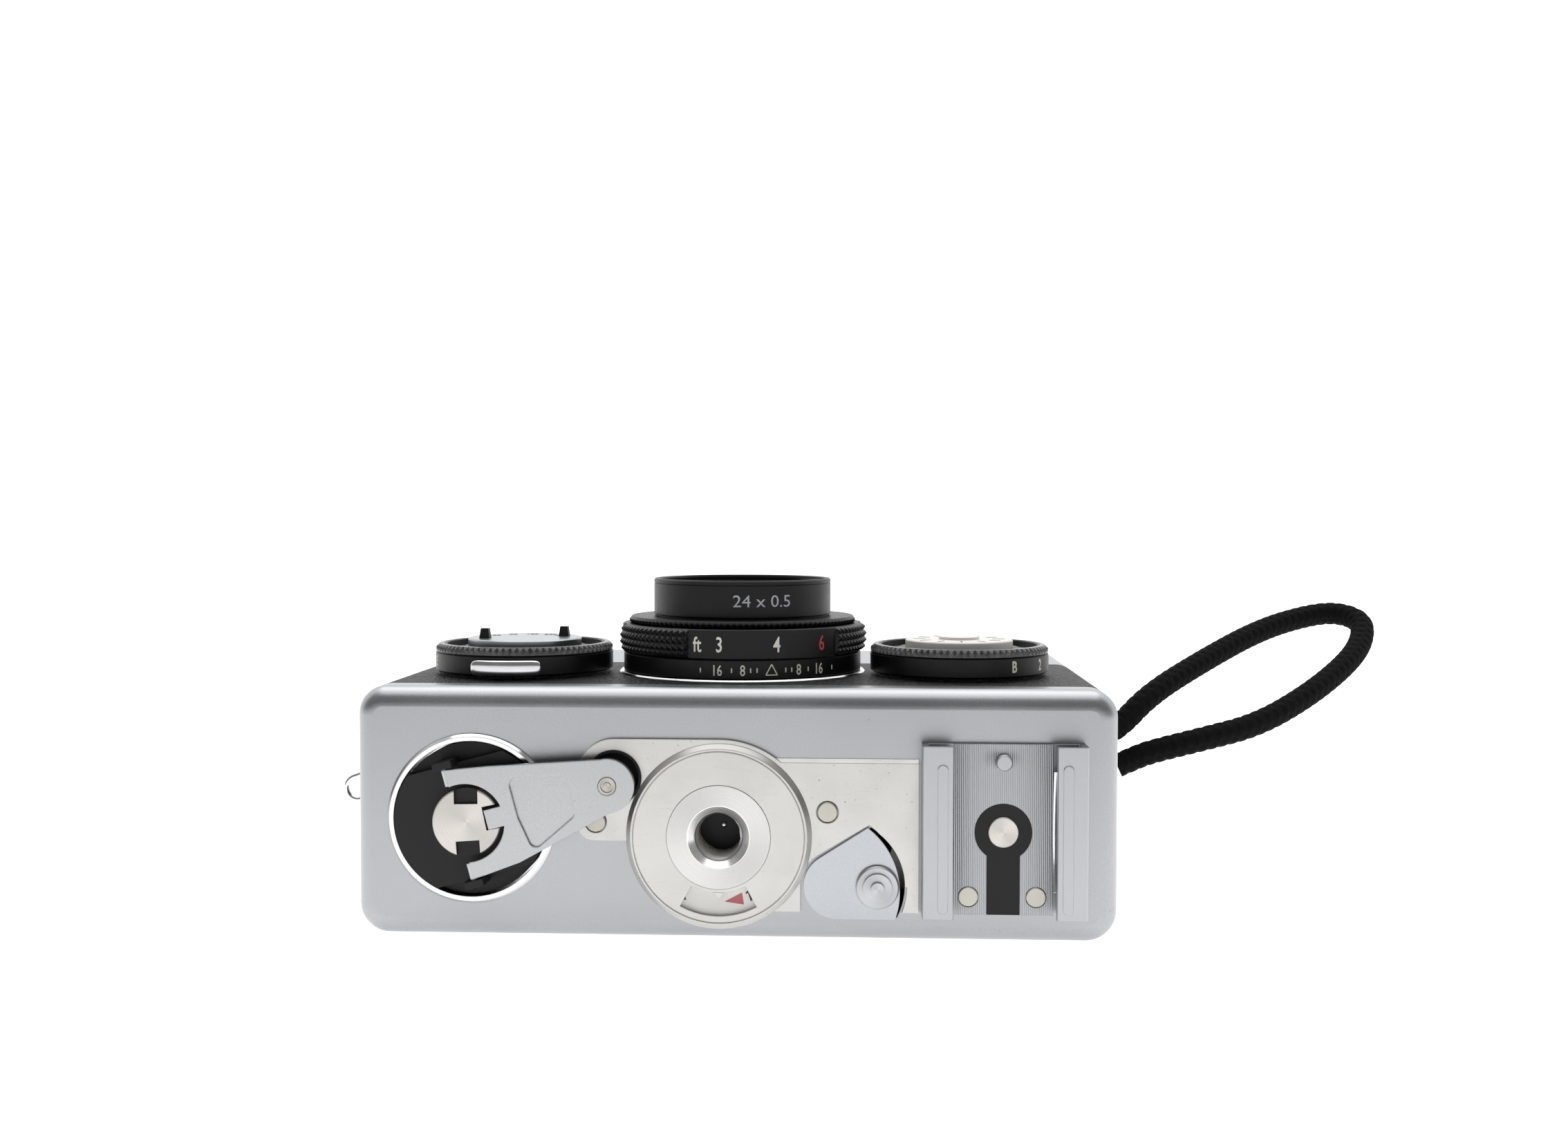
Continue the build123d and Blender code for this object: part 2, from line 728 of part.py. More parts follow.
def speed_disc():
    """Film-speed disc in the aperture dial, turned by its two pins."""
    x = lens_x - dial_x
    z0 = dial_top_z()
    z1 = z0 + 0.5 + dial_disc_height
    disc_shape = cyl_z(x, dial_y, z0, z1, speed_disc_radius)
    disc_shape = chamfer(disc_shape.edges().filter_by(GeomType.CIRCLE).sort_by(Axis.Z)[-1], 0.15)
    return disc_shape + cyl_z(x, dial_y, dial_z - 0.2, z0, 0.95)


def speed_pins():
    """Two tapered black pins standing on the film-speed disc."""
    x = lens_x - dial_x
    z0 = dial_top_z() + 0.5 + dial_disc_height
    pins = []
    for side in (-1, 1):
        a = radians(24)
        px = x + side * speed_pin_circle * cos(a)
        py = dial_y + side * speed_pin_circle * sin(a)
        foot = Pos(px, py, z0) * Rectangle(speed_pin_width, speed_pin_width)
        top = Pos(px, py, z0 + speed_pin_height) * Rectangle(speed_pin_width * 0.75, speed_pin_width * 0.75)
        pins.append(loft([foot, top]))
    return Compound(pins)


def type_disc():
    """Film-type reminder disc in the shutter dial, with a low button in its middle."""
    x = lens_x + dial_x
    z0 = dial_top_z()
    z1 = z0 + 0.5 + dial_disc_height
    disc_shape = cyl_z(x, dial_y, z0, z1, type_disc_radius)
    disc_shape = chamfer(disc_shape.edges().filter_by(GeomType.CIRCLE).sort_by(Axis.Z)[-1], 0.15)
    disc_shape += cyl_z(x, dial_y, z1, z1 + 0.35, 2.8)
    return disc_shape + cyl_z(x, dial_y, dial_z - 0.2, z0, 0.95)


def lock_tab():
    """Chrome tab that unlocks the aperture dial, curved to follow the dial's skirt."""
    x = lens_x - dial_x
    z0 = dial_z + 0.15
    z1 = z0 + lock_tab_height
    r = dial_radius + 0.25
    bar = ring_z(x, dial_y, z0, z1, r + lock_tab_depth, r)
    half = lock_tab_width / 2
    bar &= box(x - half, x + half, dial_y - r - 3, dial_y, z0, z1)
    upright = bar.edges().filter_by(Axis.Z)
    bar = fillet(upright, 0.3)
    foot_y = dial_y - dial_radius + 1.6
    foot = box(x - 1.8, x + 1.8, foot_y - 0.5, foot_y + 0.5, front_z - 2.6, dial_z - 0.03)
    arm = box(x - 1.8, x + 1.8, dial_y - r - 0.4, foot_y + 0.5, dial_z - 0.35, dial_z - 0.03)
    link = box(x - 1.8, x + 1.8, dial_y - r - 0.4, dial_y - r - 0.05, dial_z - 0.35, z0 + 0.3)
    return bar + arm + link + foot


# ---------------------------------------------------------------- rewind unit
def rewind_bezel():
    """Bright ring and cup of the rewind well."""
    outer = disc(rewind_x, rewind_z, -wall, 0.6, bezel_radius - bezel_width + 0.4)
    ring = disc(rewind_x, rewind_z, 0, 0.6, bezel_radius)
    ring = chamfer(ring.edges().filter_by(GeomType.CIRCLE).sort_by(Axis.Y)[0], 0.35)
    cup = disc(rewind_x, rewind_z, -rewind_well_depth - 0.5, 0, bezel_radius - bezel_width + 0.4)
    bezel = outer + ring + cup
    bezel -= disc(rewind_x, rewind_z, -rewind_well_depth, 2, bezel_radius - bezel_width)
    return bezel - disc(rewind_x, rewind_z, -rewind_well_depth - 1, 2, 2.2)


def rewind_disc():
    """Black turning disc: a raised middle band, with the two ears that carry the crank."""
    low = -rewind_well_depth + 0.15
    base = disc(rewind_x, rewind_z, low, -0.3, rewind_disc_radius)
    middle = disc(rewind_x, rewind_z, -0.3, 1.1, rewind_disc_radius)
    across = Pos(rewind_x, base_y, rewind_z) * Rot(0, -crank_angle, 0) * Box(40, 10, 14.8)
    body = base + (middle & across)
    rise = crank_level + crank_thickness + 0.35
    ear = Box(2.4, rise, crank_ear)
    y = base_y - rise / 2
    for side in (-1, 1):
        v0 = crank_fork_half_width + 0.12
        x, z = place_on_crank(-crank_hinge_back, side * (v0 + crank_ear / 2))
        lug = Pos(x, y, z) * Rot(0, -crank_angle, 0) * ear
        body += lug
    key_top = rewind_hub_proud - 0.5
    for angle in hub_key_angles:
        body += hub_notch(angle, hub_key_gap) & disc(rewind_x, rewind_z, 0, key_top, rewind_hub_radius)
    x, z = place_on_crank(-crank_hinge_back, 0)
    level = base_y - crank_level - crank_thickness / 2
    hole = Pos(x, level, z) * Rot(0, -crank_angle, 0) * Cylinder(crank_pin_radius + 0.04, 30)
    body -= hole
    return body - disc(rewind_x, rewind_z, -10, 5, 1.9)


def hub_notch(angle, gap):
    """Block that cuts a notch in the hub's rim, or fills it to within a gap."""
    a = radians(angle)
    reach = rewind_hub_radius - 0.55
    block = Box(2.9 - 2 * gap, 4.3, 3.0 - 2 * gap)
    return Pos(rewind_x + reach * cos(a), base_y - 3.2, rewind_z + reach * sin(a)) * Rot(0, -angle, 0) * block


def rewind_hub():
    """Bright notched hub on the end of the rewind shaft, with the fork that turns the cassette."""
    hub = disc(rewind_x, rewind_z, 1.1, rewind_hub_proud, rewind_hub_radius)
    hub = chamfer(hub.edges().filter_by(GeomType.CIRCLE).sort_by(Axis.Y)[0], 0.15)
    for angle in (crank_angle - 3, *hub_key_angles):
        hub -= hub_notch(angle, 0.0)
    shaft_end = film_y - cassette_length / 2 + 3.0
    hub += cyl_y(rewind_x, rewind_z, base_y - 1.2, shaft_end, 1.88)
    hub += cyl_y(rewind_x, rewind_z, shaft_end - 0.01, shaft_end + 1.4, 2.6)
    slot = box(rewind_x - 3, rewind_x + 3, shaft_end - 1, shaft_end + 2, rewind_z - 0.7, rewind_z + 0.7)
    return hub - slot


def crank_arm():
    """Forked folding arm with a dished finger rest, a tongue and two knuckles."""
    u_back = -crank_hinge_back + 0.1
    half = crank_fork_half_width
    nose_top = (crank_length, crank_nose_radius)
    nose_low = (crank_length - 0.5, -crank_nose_radius + 0.05)
    upper = (4.6, half - 0.9)
    lower = (5.4, -half + 0.6)
    edge = Polyline(nose_top, upper, (u_back, half), (u_back, -half), lower, nose_low)
    nose = ThreePointArc(nose_low, (crank_length + crank_nose_radius, 0), nose_top)
    blank = make_face(edge + nose)
    blank -= Circle(crank_fork_radius)
    blank -= Pos(-3, 0) * Rectangle(6, 2 * (crank_fork_radius - 0.2))
    tongue_start = rewind_hub_radius - 2 * crank_hinge_back + crank_tongue_gap
    tongue_end = crank_fork_radius + 0.3
    blank += Pos((tongue_start + tongue_end) / 2, -0.3) * Rectangle(tongue_end - tongue_start, 2.5)
    arm = extrude(Plane.XY * blank, crank_thickness)
    rest = make_face(crank_rest_outline())
    arm -= extrude(Pos(0, 0, crank_thickness - 0.35) * rest, 1)
    arm += extrude(Pos(0, 0, -0.3) * offset(rest, 0.35), 0.5)
    hinge_level = crank_thickness / 2
    for side in (-1, 1):
        v0 = crank_fork_radius + 0.05
        length = half - v0
        knuckle = Rot(90, 0, 0) * Cylinder(crank_knuckle_radius, length)
        arm += Pos(-crank_hinge_back, side * (v0 + length / 2), hinge_level) * knuckle
        pin = Rot(90, 0, 0) * Cylinder(crank_pin_radius, 1.0)
        arm += Pos(-crank_hinge_back, side * (half + 0.45), hinge_level) * pin
    arm -= Pos(crank_length, 0, 0) * Cylinder(1.15, 4)
    return crank_place() * arm


def crank_rest_outline():
    """Rounded outline of the dished finger rest, along and across the arm."""
    pts = [(6.6, 4.2), (14.0, 2.4), (13.6, -2.6), (7.4, -5.6), (6.6, -1.0)]
    return FilletPolyline(*pts, radius=0.9, close=True)


def crank_place():
    """Moves the arm from its drawing, u and v in X and Y, to its folded place on the base."""
    arm_plane = Plane(origin=(rewind_x, base_y - crank_level, rewind_z),
                      x_dir=(cos(radians(crank_angle)), 0, sin(radians(crank_angle))), z_dir=(0, -1, 0))
    return Location(arm_plane)


def crank_knob():
    """Black finger knob under the arm's nose."""
    x, z = place_on_crank(crank_length, 0)
    low = crank_level - crank_knob_height
    knob = disc(x, z, low, crank_level - 0.02, crank_knob_radius)
    knob = chamfer(knob.edges().filter_by(GeomType.CIRCLE).sort_by(Axis.Y)[-1], 0.25)
    return knob - disc(x, z, low - 1, crank_level + 1, 0.85)


def crank_rivet():
    """Rivet that holds the finger knob, with a small centre."""
    x, z = place_on_crank(crank_length, 0)
    top = crank_level + crank_thickness
    head = disc(x, z, crank_level + 0.02, top + 0.08, 1.1)
    head -= disc(x, z, top - 0.12, top + 1, 0.8)
    head += disc(x, z, top - 0.4, top + 0.02, 0.45)
    return head + disc(x, z, crank_level - crank_knob_height, crank_level + 0.1, 0.83)


def crank_pocket():
    """Black cup in the base under the crank's nose."""
    cup = disc(pocket_x, pocket_z, -pocket_depth, base_plate_thickness - 0.02, pocket_radius)
    return cup - disc(pocket_x, pocket_z, -pocket_depth + 0.4, 2, pocket_radius - 0.35)


# ---------------------------------------------------------------- base plate and tripod bush
def rivet_places():
    """Two rivets of the base plate."""
    return [(pocket_x - 2.3, boss_z + 1.7), (boss_x + 13.7, boss_z + 3.2)]


def base_plate():
    """Nickelled plate around the counter housing, with the cut-out for the lock lever."""
    high = boss_z + plate_crown_radius
    left = pocket_x - plate_lobe_reach
    lobe_low = boss_z - plate_lobe_drop
    lobe = Pos((left + boss_x) / 2, (lobe_low + high) / 2) * Rectangle(boss_x - left, high - lobe_low)
    corners = lobe.vertices().filter_by(lambda v: v.X < left + 0.01)
    lobe = fillet(corners.sort_by(Axis.Y)[-1], plate_lobe_reach)
    low_corner = lobe.vertices().filter_by(lambda v: v.X < left + 0.01).sort_by(Axis.Y)[0]
    lobe = fillet(low_corner, 2.0)
    right_top = boss_z + plate_rise
    side = Pos((boss_x + plate_right) / 2, (plate_low_z + right_top) / 2)
    side *= Rectangle(plate_right - boss_x, right_top - plate_low_z)
    crown = Pos(boss_x, boss_z) * Circle(plate_crown_radius)
    crown &= Pos(boss_x + 10, boss_z + 10) * Rectangle(20, 20)
    outline = lobe + side + crown
    plate = slab(outline, 0, base_plate_thickness)
    long_edge = plate.edges().filter_by(Axis.X).filter_by_position(Axis.Z, right_top - 0.01, right_top + 0.01)
    outer_edge = long_edge.sort_by(Axis.Y)[0]
    plate = chamfer(outer_edge, 0.5)
    plate -= disc(boss_x, boss_z, -1, 2, counter_radius + counter_wall + 0.03)
    plate -= disc(pocket_x, pocket_z, -1, 2, pocket_radius + 0.02)
    for x, z in rivet_places():
        plate -= disc(x, z, -1, 2, rivet_radius + rivet_gap)
    return plate - slab(lever_room(), -1, 2)


def rivets():
    """Four identical rivets: two in the base plate and two in the accessory shoe."""
    heads = []
    for x, z in rivet_places():
        heads.append(rivet(x, z, base_plate_thickness + 0.15))
    for x, z in shoe_rivet_places():
        heads.append(rivet(x, z, shoe_metal + 0.06))
    return Compound(heads)


def rivet(x, z, top):
    """One rivet with a shallow domed head."""
    head = disc(x, z, 0.02, top, rivet_radius)
    head = chamfer(head.edges().filter_by(GeomType.CIRCLE).sort_by(Axis.Y)[0], 0.12)
    return head + disc(x, z, -wall - 0.4, 0.1, rivet_stem_radius)


def lever_outline(extra=0.0):
    """Outline of the lock lever about its pivot, grown by extra."""
    r = lever_hub_radius + extra
    slope = radians(33.5)
    tangent = (-r * sin(slope), r * cos(slope))
    apex = ((lever_reach + extra) * cos(radians(62.5)), (lever_reach + extra) * sin(radians(62.5)))
    low_end = (lever_reach * cos(radians(-29.5)) + extra, -r)
    bulge = (lever_reach - 0.75 + 1.1 * extra, 1.7)
    upper = Line(tangent, apex)
    right = ThreePointArc(apex, bulge, low_end)
    lower = Line(low_end, (0, -r))
    left = ThreePointArc((0, -r), (-r, 0), tangent)
    return Pos(lever_x, lever_z) * make_face(upper + right + lower + left)


def lever_room():
    """Cut-out of the base plate that the lock lever swings in."""
    gap = 0.4
    room = lever_outline(gap)
    room += Pos(lever_x, lever_z) * sector(-90, 90, lever_reach + gap)
    room += Pos(lever_x, lever_z) * sector(-10, 72, lever_reach + lever_swing_gap)
    room += Pos(lever_x, lever_z - 7) * Rectangle(2 * (lever_hub_radius + gap), 14)
    return room


def counter_housing():
    """Round housing of the frame counter, with its window."""
    housing = disc(boss_x, boss_z, base_plate_thickness + 0.02, boss_proud, boss_radius)
    housing = chamfer(housing.edges().filter_by(GeomType.CIRCLE).sort_by(Axis.Y)[0], boss_chamfer)
    housing += disc(boss_x, boss_z, 0.01, boss_proud - 0.2, counter_radius + counter_wall)
    floor = boss_proud - counter_cap_thickness
    housing -= disc(boss_x, boss_z, -1, floor, counter_radius)
    groove = disc(boss_x, boss_z, boss_proud - 0.12, 3, boss_radius - boss_chamfer - 0.25)
    groove -= disc(boss_x, boss_z, -1, 4, boss_radius - boss_chamfer - 0.37)
    housing -= groove
    housing -= disc(boss_x, boss_z, -1, 3, bush_radius + 0.03)
    window = sector(-90 - counter_window_angle, 2 * counter_window_angle, 10.0)
    window -= Circle(bush_radius + 0.5)
    window = Pos(boss_x, boss_z) * window
    return housing - slab(window, -1, 3)


def counter_disc():
    """Numbered ring of the frame counter, seen through the window."""
    top = boss_proud - counter_cap_thickness - 0.06
    ring = disc(boss_x, boss_z, top - counter_disc_thickness, top, counter_radius - 0.1)
    return ring - disc(boss_x, boss_z, -3, 3, bush_radius + 0.06)


def tripod_bush():
    """Threaded tripod bush in the middle of the counter, with its flange inside the base."""
    bush = disc(boss_x, boss_z, -bush_depth, bush_proud, bush_radius)
    bush += disc(boss_x, boss_z, -wall - 1.2, -wall - 0.02, counter_radius - 0.2)
    bush -= disc(boss_x, boss_z, -bush_depth - 1, 3, tripod_thread_radius)
    mouth = bush.edges().filter_by(GeomType.CIRCLE).filter_by_position(
        Axis.Y, base_y - bush_proud - 0.01, base_y - bush_proud + 0.01)
    return chamfer(mouth.sort_by(SortBy.RADIUS)[0], tripod_chamfer)


def lock_lever():
    """Swinging lock lever of the back."""
    lever = slab(lever_outline(), 0.03, lever_thickness)
    lever += disc(lever_x, lever_z, -wall - 1.6, 0.1, 1.15)
    lever += disc(lever_x, lever_z, -wall - 1.6, -wall - 0.1, 2.6)
    y0 = base_y + wall + 0.1
    return lever + box(lever_x, lever_x + 4.2, y0, y0 + 1.5, lever_z - 1.4, lever_z + 1.4)


def lock_knob():
    """Stepped round knob near the lever's free end."""
    x = lever_x + lever_knob_at
    knob = disc(x, lever_z, lever_thickness, lever_thickness + 0.7, lever_knob_radius)
    knob = chamfer(knob.edges().filter_by(GeomType.CIRCLE).sort_by(Axis.Y)[0], 0.2)
    knob += disc(x, lever_z, lever_thickness + 0.6, lever_thickness + 1.1, 1.85)
    knob += disc(x, lever_z, lever_thickness + 1.0, lever_thickness + 1.6, 0.85)
    return knob


# ---------------------------------------------------------------- accessory shoe
def shoe_rivet_places():
    return [(shoe_x - 4.35, shoe_z - 8.5), (shoe_x + 4.1, shoe_z - 8.5)]


def shoe_frame():
    """Sheet-metal shoe: floor, two side walls and two lips with pressed beads."""
    w = shoe_width / 2
    z0 = shoe_z - shoe_length / 2
    z1 = shoe_z + shoe_length / 2
    lip = shoe_metal + shoe_slot_height
    proud = lip + shoe_metal
    x0 = shoe_x - w
    x1 = shoe_x + w
    frame = box(x0, x1, base_y, base_y - shoe_metal, z0, z1)
    frame += box(x0, x0 + shoe_metal, base_y, base_y - proud, z0, z1)
    frame += box(x1 - shoe_metal, x1, base_y, base_y - proud, z0, z1)
    half_gap = shoe_lip_gap / 2
    frame += box(x0, shoe_x - half_gap, base_y - lip, base_y - proud, z0, z1)
    frame += box(shoe_x + half_gap, x1, base_y - lip, base_y - proud, z0, z1)
    long_edges = frame.edges().filter_by(Axis.Z).filter_by_position(
        Axis.Y, base_y - proud - 0.01, base_y - proud + 0.01)
    frame = fillet(long_edges, 0.35)
    for side in (-1, 1):
        x = shoe_x + side * (half_gap + 1.35)
        bead = Pos(x, shoe_z - 0.75) * SlotOverall(shoe_length - 3.0, 1.25, rotation=90)
        frame += slab(bead, proud - 0.3, proud + 0.12)
    key = shoe_key(0.03)
    frame -= slab(key, 0.25, 3)
    frame -= disc(shoe_x, shoe_z - shoe_key_drop, -1, 3, shoe_contact_radius + 0.1)
    for x, z in shoe_rivet_places():
        frame -= disc(x, z, -1, 3, rivet_radius + 0.02)
    stop = disc(shoe_x, z1 - 2.2, 0.3, shoe_metal + 1.3, 1.03)
    return frame + chamfer(stop.edges().filter_by(GeomType.CIRCLE).sort_by(Axis.Y)[0], 0.15)


def shoe_key(extra=0.0):
    """Keyhole outline of the contact's insulator."""
    z = shoe_z - shoe_key_drop
    low = shoe_z - shoe_length / 2
    stem = Pos(shoe_x, (z + low) / 2) * Rectangle(2 * (shoe_stem_half_width + extra), z - low + 2 * extra)
    return stem + Pos(shoe_x, z) * Circle(shoe_insulator_radius + extra)


def shoe_insulator():
    plate = slab(shoe_key(), 0.27, shoe_metal + 0.02)
    return plate - disc(shoe_x, shoe_z - shoe_key_drop, -1, 3, shoe_contact_radius + 0.03)


def shoe_contact():
    """Centre contact of the hot shoe."""
    top = shoe_metal + 0.22
    pin = disc(shoe_x, shoe_z - shoe_key_drop, -wall - 0.8, top, shoe_contact_radius)
    return chamfer(pin.edges().filter_by(GeomType.CIRCLE).sort_by(Axis.Y)[0], 0.12)


def shoe_spring():
    """Bowed leaf spring under the right-hand lip."""
    x0 = shoe_x + shoe_lip_gap / 2 - 0.35
    x1 = shoe_x + shoe_width / 2 - shoe_metal - 0.3
    top = base_y - shoe_metal - shoe_slot_height
    z0 = shoe_z - 7.4
    z1 = shoe_z + 7.6
    outer = ThreePointArc((z0, -0.03), ((z0 + z1) / 2, -0.03 - shoe_spring_rise), (z1, -0.03))
    inner = ThreePointArc((z1, -0.23), ((z0 + z1) / 2, -0.23 - shoe_spring_rise), (z0, -0.23))
    ends = Line((z1, -0.03), (z1, -0.23)) + Line((z0, -0.23), (z0, -0.03))
    face = make_face(outer + inner + ends)
    plane = Plane(origin=(x0, top, 0), x_dir=(0, 0, 1), z_dir=(1, 0, 0))
    return extrude(plane * face, x1 - x0)


# ---------------------------------------------------------------- top plate controls
def finder_glass():
    """Front window of the viewfinder."""
    w = finder_width / 2 - 0.04
    h = finder_height / 2 - 0.04
    y = finder_y()
    return box(finder_x - w, finder_x + w, y - h, y + h, front_z - wall, front_z - 0.1)


def finder_block():
    """Viewfinder tube between the two windows."""
    w = finder_width / 2 + 0.7
    h = finder_height / 2 + 0.7
    y = finder_y()
    block = box(finder_x - w, finder_x + w, y - h, y + h, 2.3, front_z - wall - 0.05)
    front = box(finder_x - w + 1, finder_x + w - 1, y - h + 1, y + h - 1, 14, front_z)
    ex = eyepiece_width / 2 + 0.1
    ey = eyepiece_height / 2 + 0.1
    back = box(finder_x - ex, finder_x + ex, y - ey, y + ey, 0, 20)
    return block - front - back


def eyepiece():
    """Eyepiece frame and its window in the back of the top cover."""
    w = eyepiece_width / 2 - 0.04
    h = eyepiece_height / 2 - 0.04
    y = finder_y()
    frame = box(finder_x - w, finder_x + w, y - h, y + h, 0.05, 2.2)
    frame = fillet(frame.edges().filter_by(Axis.Z), 1.2)
    return frame - box(finder_x - w + 1, finder_x + w - 1, y - h + 1, y + h - 1, -1, 3)


def meter_cell():
    """Light-meter cell behind its ribbed window in the front."""
    half = cell_width / 2 - 0.04
    y = finder_y()
    window = box(cell_x - half, cell_x + half, y - half, y + half, front_z - wall, front_z + 0.1)
    window = chamfer(window.edges().filter_by_position(Axis.Z, front_z + 0.09, front_z + 0.11), 0.1)
    return window + cyl_z(cell_x, y, front_z - wall - 3, front_z - wall, 3.2)


def meter_window():
    """Window over the meter's needle in the top plate."""
    w = meter_window_width / 2 - 0.04
    d = meter_window_depth / 2 - 0.04
    x = meter_x()
    return box(x - w, x + w, top_y - wall, top_y - 0.1, meter_window_z - d, meter_window_z + d)


def meter_pivot_x():
    return finder_x + finder_width / 2 + 6.2


def meter_needle():
    """Needle that swings under the meter's window."""
    x = meter_pivot_x()
    y0 = top_y - wall - 1.9
    needle = cyl_y(x, 19.0, y0 - 0.3, y0 + 0.6, 0.9)
    needle += box(x - 9.0, x, y0, y0 + 0.3, 21.3, 21.7)
    return needle + box(x - 0.7, x + 0.7, y0, y0 + 0.3, 19.0, 21.7)


def battery():
    """Button cell that feeds the meter."""
    high = top_y - wall - battery_depth
    cell = cyl_y(battery_x, battery_z, high - battery_height, high, battery_radius)
    return chamfer(cell.edges().filter_by(GeomType.CIRCLE), 0.6)


def release_button():
    """Shutter button with the cable-release thread in its middle."""
    high = top_y + release_proud
    button = cyl_y(release_x, release_z, top_y - wall - 0.6, high, release_radius)
    button = fillet(button.edges().filter_by(GeomType.CIRCLE).sort_by(Axis.Y)[-1], 0.5)
    button += cyl_y(release_x, release_z, top_y - 7, top_y - wall, 1.7)
    return button - cyl_y(release_x, release_z, high - 3.2, high + 1, cable_thread_radius)


def lens_button():
    """Small button that frees the lens for collapsing."""
    high = top_y + lens_button_proud
    button = cyl_y(lens_button_x, lens_button_z, top_y - wall - 0.6, high, lens_button_radius)
    button = fillet(button.edges().filter_by(GeomType.CIRCLE).sort_by(Axis.Y)[-1], 0.5)
    return button + cyl_y(lens_button_x, lens_button_z, top_y - 6, top_y - wall, 1.2)


def advance_lever():
    """Film advance lever: a round head with a curved thumb arm over the top plate."""
    low = top_y + 0.4
    high = low + advance_thickness
    r = advance_radius
    reach = advance_reach
    rim = [(0, -r), (-0.65 * reach, 0.2 - r), (-reach, 2.0 - r)]
    inner = [(-reach - 0.6, 4.9 - r), (-0.7 * reach, 5.0 - r), (0, 0)]
    arm = make_face(Polyline(*rim, *inner, close=True))
    tip = arm.vertices().filter_by(lambda v: v.X < 2 - reach)
    arm = fillet(tip, 1.2)
    plane = Plane(origin=(takeup_x, high, rewind_z), x_dir=(1, 0, 0), z_dir=(0, -1, 0))
    lever = extrude(plane * (Circle(r) + arm), advance_thickness)
    lever = fillet(lever.edges().filter_by_position(Axis.Y, high - 0.01, high + 0.01), 0.4)
    lever += cyl_y(takeup_x, rewind_z, top_y - wall - 0.3, low + 0.1, advance_shaft_radius - 0.02)
    return lever - cyl_y(takeup_x, rewind_z, high - 0.6, high + 1, 3.4)


# ---------------------------------------------------------------- strap fittings
def lug(side):
    """Strap post on the side of the top cover: a neck and a flat eye with an upright hole."""
    x0 = side * half_width
    eye_x = side * ring_eye_x
    post = cyl_z(eye_x, lug_y, lug_z - lug_eye_half, lug_z + lug_eye_half, lug_eye_radius)
    neck_y = lug_eye_radius - 0.3
    low = lug_z - lug_eye_half
    post += box(x0 + side * 0.02, eye_x, lug_y - neck_y, lug_y + neck_y, low, low + 2 * lug_eye_half)
    collar = Pos(x0 + side * 0.17, lug_y, lug_z) * Rot(0, 90, 0) * Cylinder(2.3, 0.3)
    stem = Pos(x0 - side * 0.65, lug_y, lug_z) * Rot(0, 90, 0) * Cylinder(0.97, 1.7)
    hole = cyl_z(eye_x, lug_y, lug_z - 3, lug_z + 3, lug_hole_radius)
    return post + collar + stem - hole


def strap_lugs():
    """The two identical strap posts, left and right."""
    return Compound([lug(-1), lug(1)])


def strap_ring():
    """Long wire loop through the left-hand eye, drooping towards the back of the camera."""
    r = ring_half_width
    straight = ring_length - 2 * r
    near = Torus(r, ring_wire_radius) & Pos(-2 * r, 0, 0) * Box(4 * r, 4 * r, 4 * r)
    far = Pos(straight, 0, 0) * (Torus(r, ring_wire_radius) & Pos(2 * r, 0, 0) * Box(4 * r, 4 * r, 4 * r))
    loop = near + far
    for side in (-1, 1):
        loop += Pos(straight / 2, side * r, 0) * Rot(0, 90, 0) * Cylinder(ring_wire_radius, straight)
    droop = radians(ring_droop)
    plane = Plane(origin=(-ring_eye_x, lug_y, lug_z), x_dir=(-cos(droop), 0, -sin(droop)), z_dir=(0, -1, 0))
    return Location(plane) * Pos(r, 0, 0) * loop


def clasp_point(u, v):
    """Point of the clasp u out from the right-hand eye and v across it, in X and Z."""
    a = radians(clasp_rise)
    return ring_eye_x + u * cos(a) - v * sin(a), lug_z + u * sin(a) + v * cos(a)


def strap_clasp():
    """Metal clasp with both ends of the strap cord, hooked on the right-hand eye by its pin."""
    across = 2 * cord_diameter + cord_gap + 0.9
    body = Box(clasp_length, clasp_thickness, across)
    body = fillet(body.edges().filter_by(Axis.X), 1.5)
    x, z = clasp_point(clasp_start + clasp_length / 2, 0)
    clasp = Pos(x, lug_y, z) * Rot(0, -clasp_rise, 0) * body
    cheek_low = lug_eye_half + 0.15
    for side in (-1, 1):
        z0 = lug_z + side * cheek_low
        z1 = z0 + side * clasp_cheek
        low = min(z0, z1)
        high = max(z0, z1)
        cheek = cyl_z(ring_eye_x, lug_y, low, high, lug_hole_radius + 0.1)
        reach = ring_eye_x + clasp_start + 1.2
        clasp += cheek + box(ring_eye_x, reach, lug_y - 1.2, lug_y + 1.2, low, high)
    span = cheek_low + clasp_cheek
    return clasp + cyl_z(ring_eye_x, lug_y, lug_z - span, lug_z + span, lug_hole_radius - running_gap)


def cord_ends():
    """Middle of the cord where it leaves the clasp's end face, above, and where it returns, below."""
    reach = clasp_start + clasp_length
    off = (cord_diameter + cord_gap) / 2
    x1, z1 = clasp_point(reach, off)
    x2, z2 = clasp_point(reach, -off)
    return (x1, lug_y, z1), (x2, lug_y, z2)


def cord_route():
    """Points of the strap cord's centreline, out of the clasp, round the loop and back."""
    reach = clasp_start + clasp_length
    off = (cord_diameter + cord_gap) / 2
    out_x, out_z = clasp_point(reach + cord_lead, off)
    back_x, back_z = clasp_point(reach + cord_lead, -off)
    loop = [
        (61.0, 18.5, 26.2),
        (71.0, 27.0, 30.7),
        (82.0, 36.0, 35.0),
        (91.0, 41.5, 37.1),
        (96.7, 42.3, 37.8),
        (100.0, 38.5, 36.5),
        (98.3, 33.5, 33.4),
        (94.0, 27.5, 30.3),
        (86.0, 20.5, 26.0),
        (77.0, 15.5, 22.0),
        (68.5, 14.0, 20.0),
        (60.5, 15.8, 17.6),
    ]
    upper, lower = cord_ends()
    return [upper, (out_x, lug_y, out_z)] + loop + [(back_x, lug_y, back_z), lower]


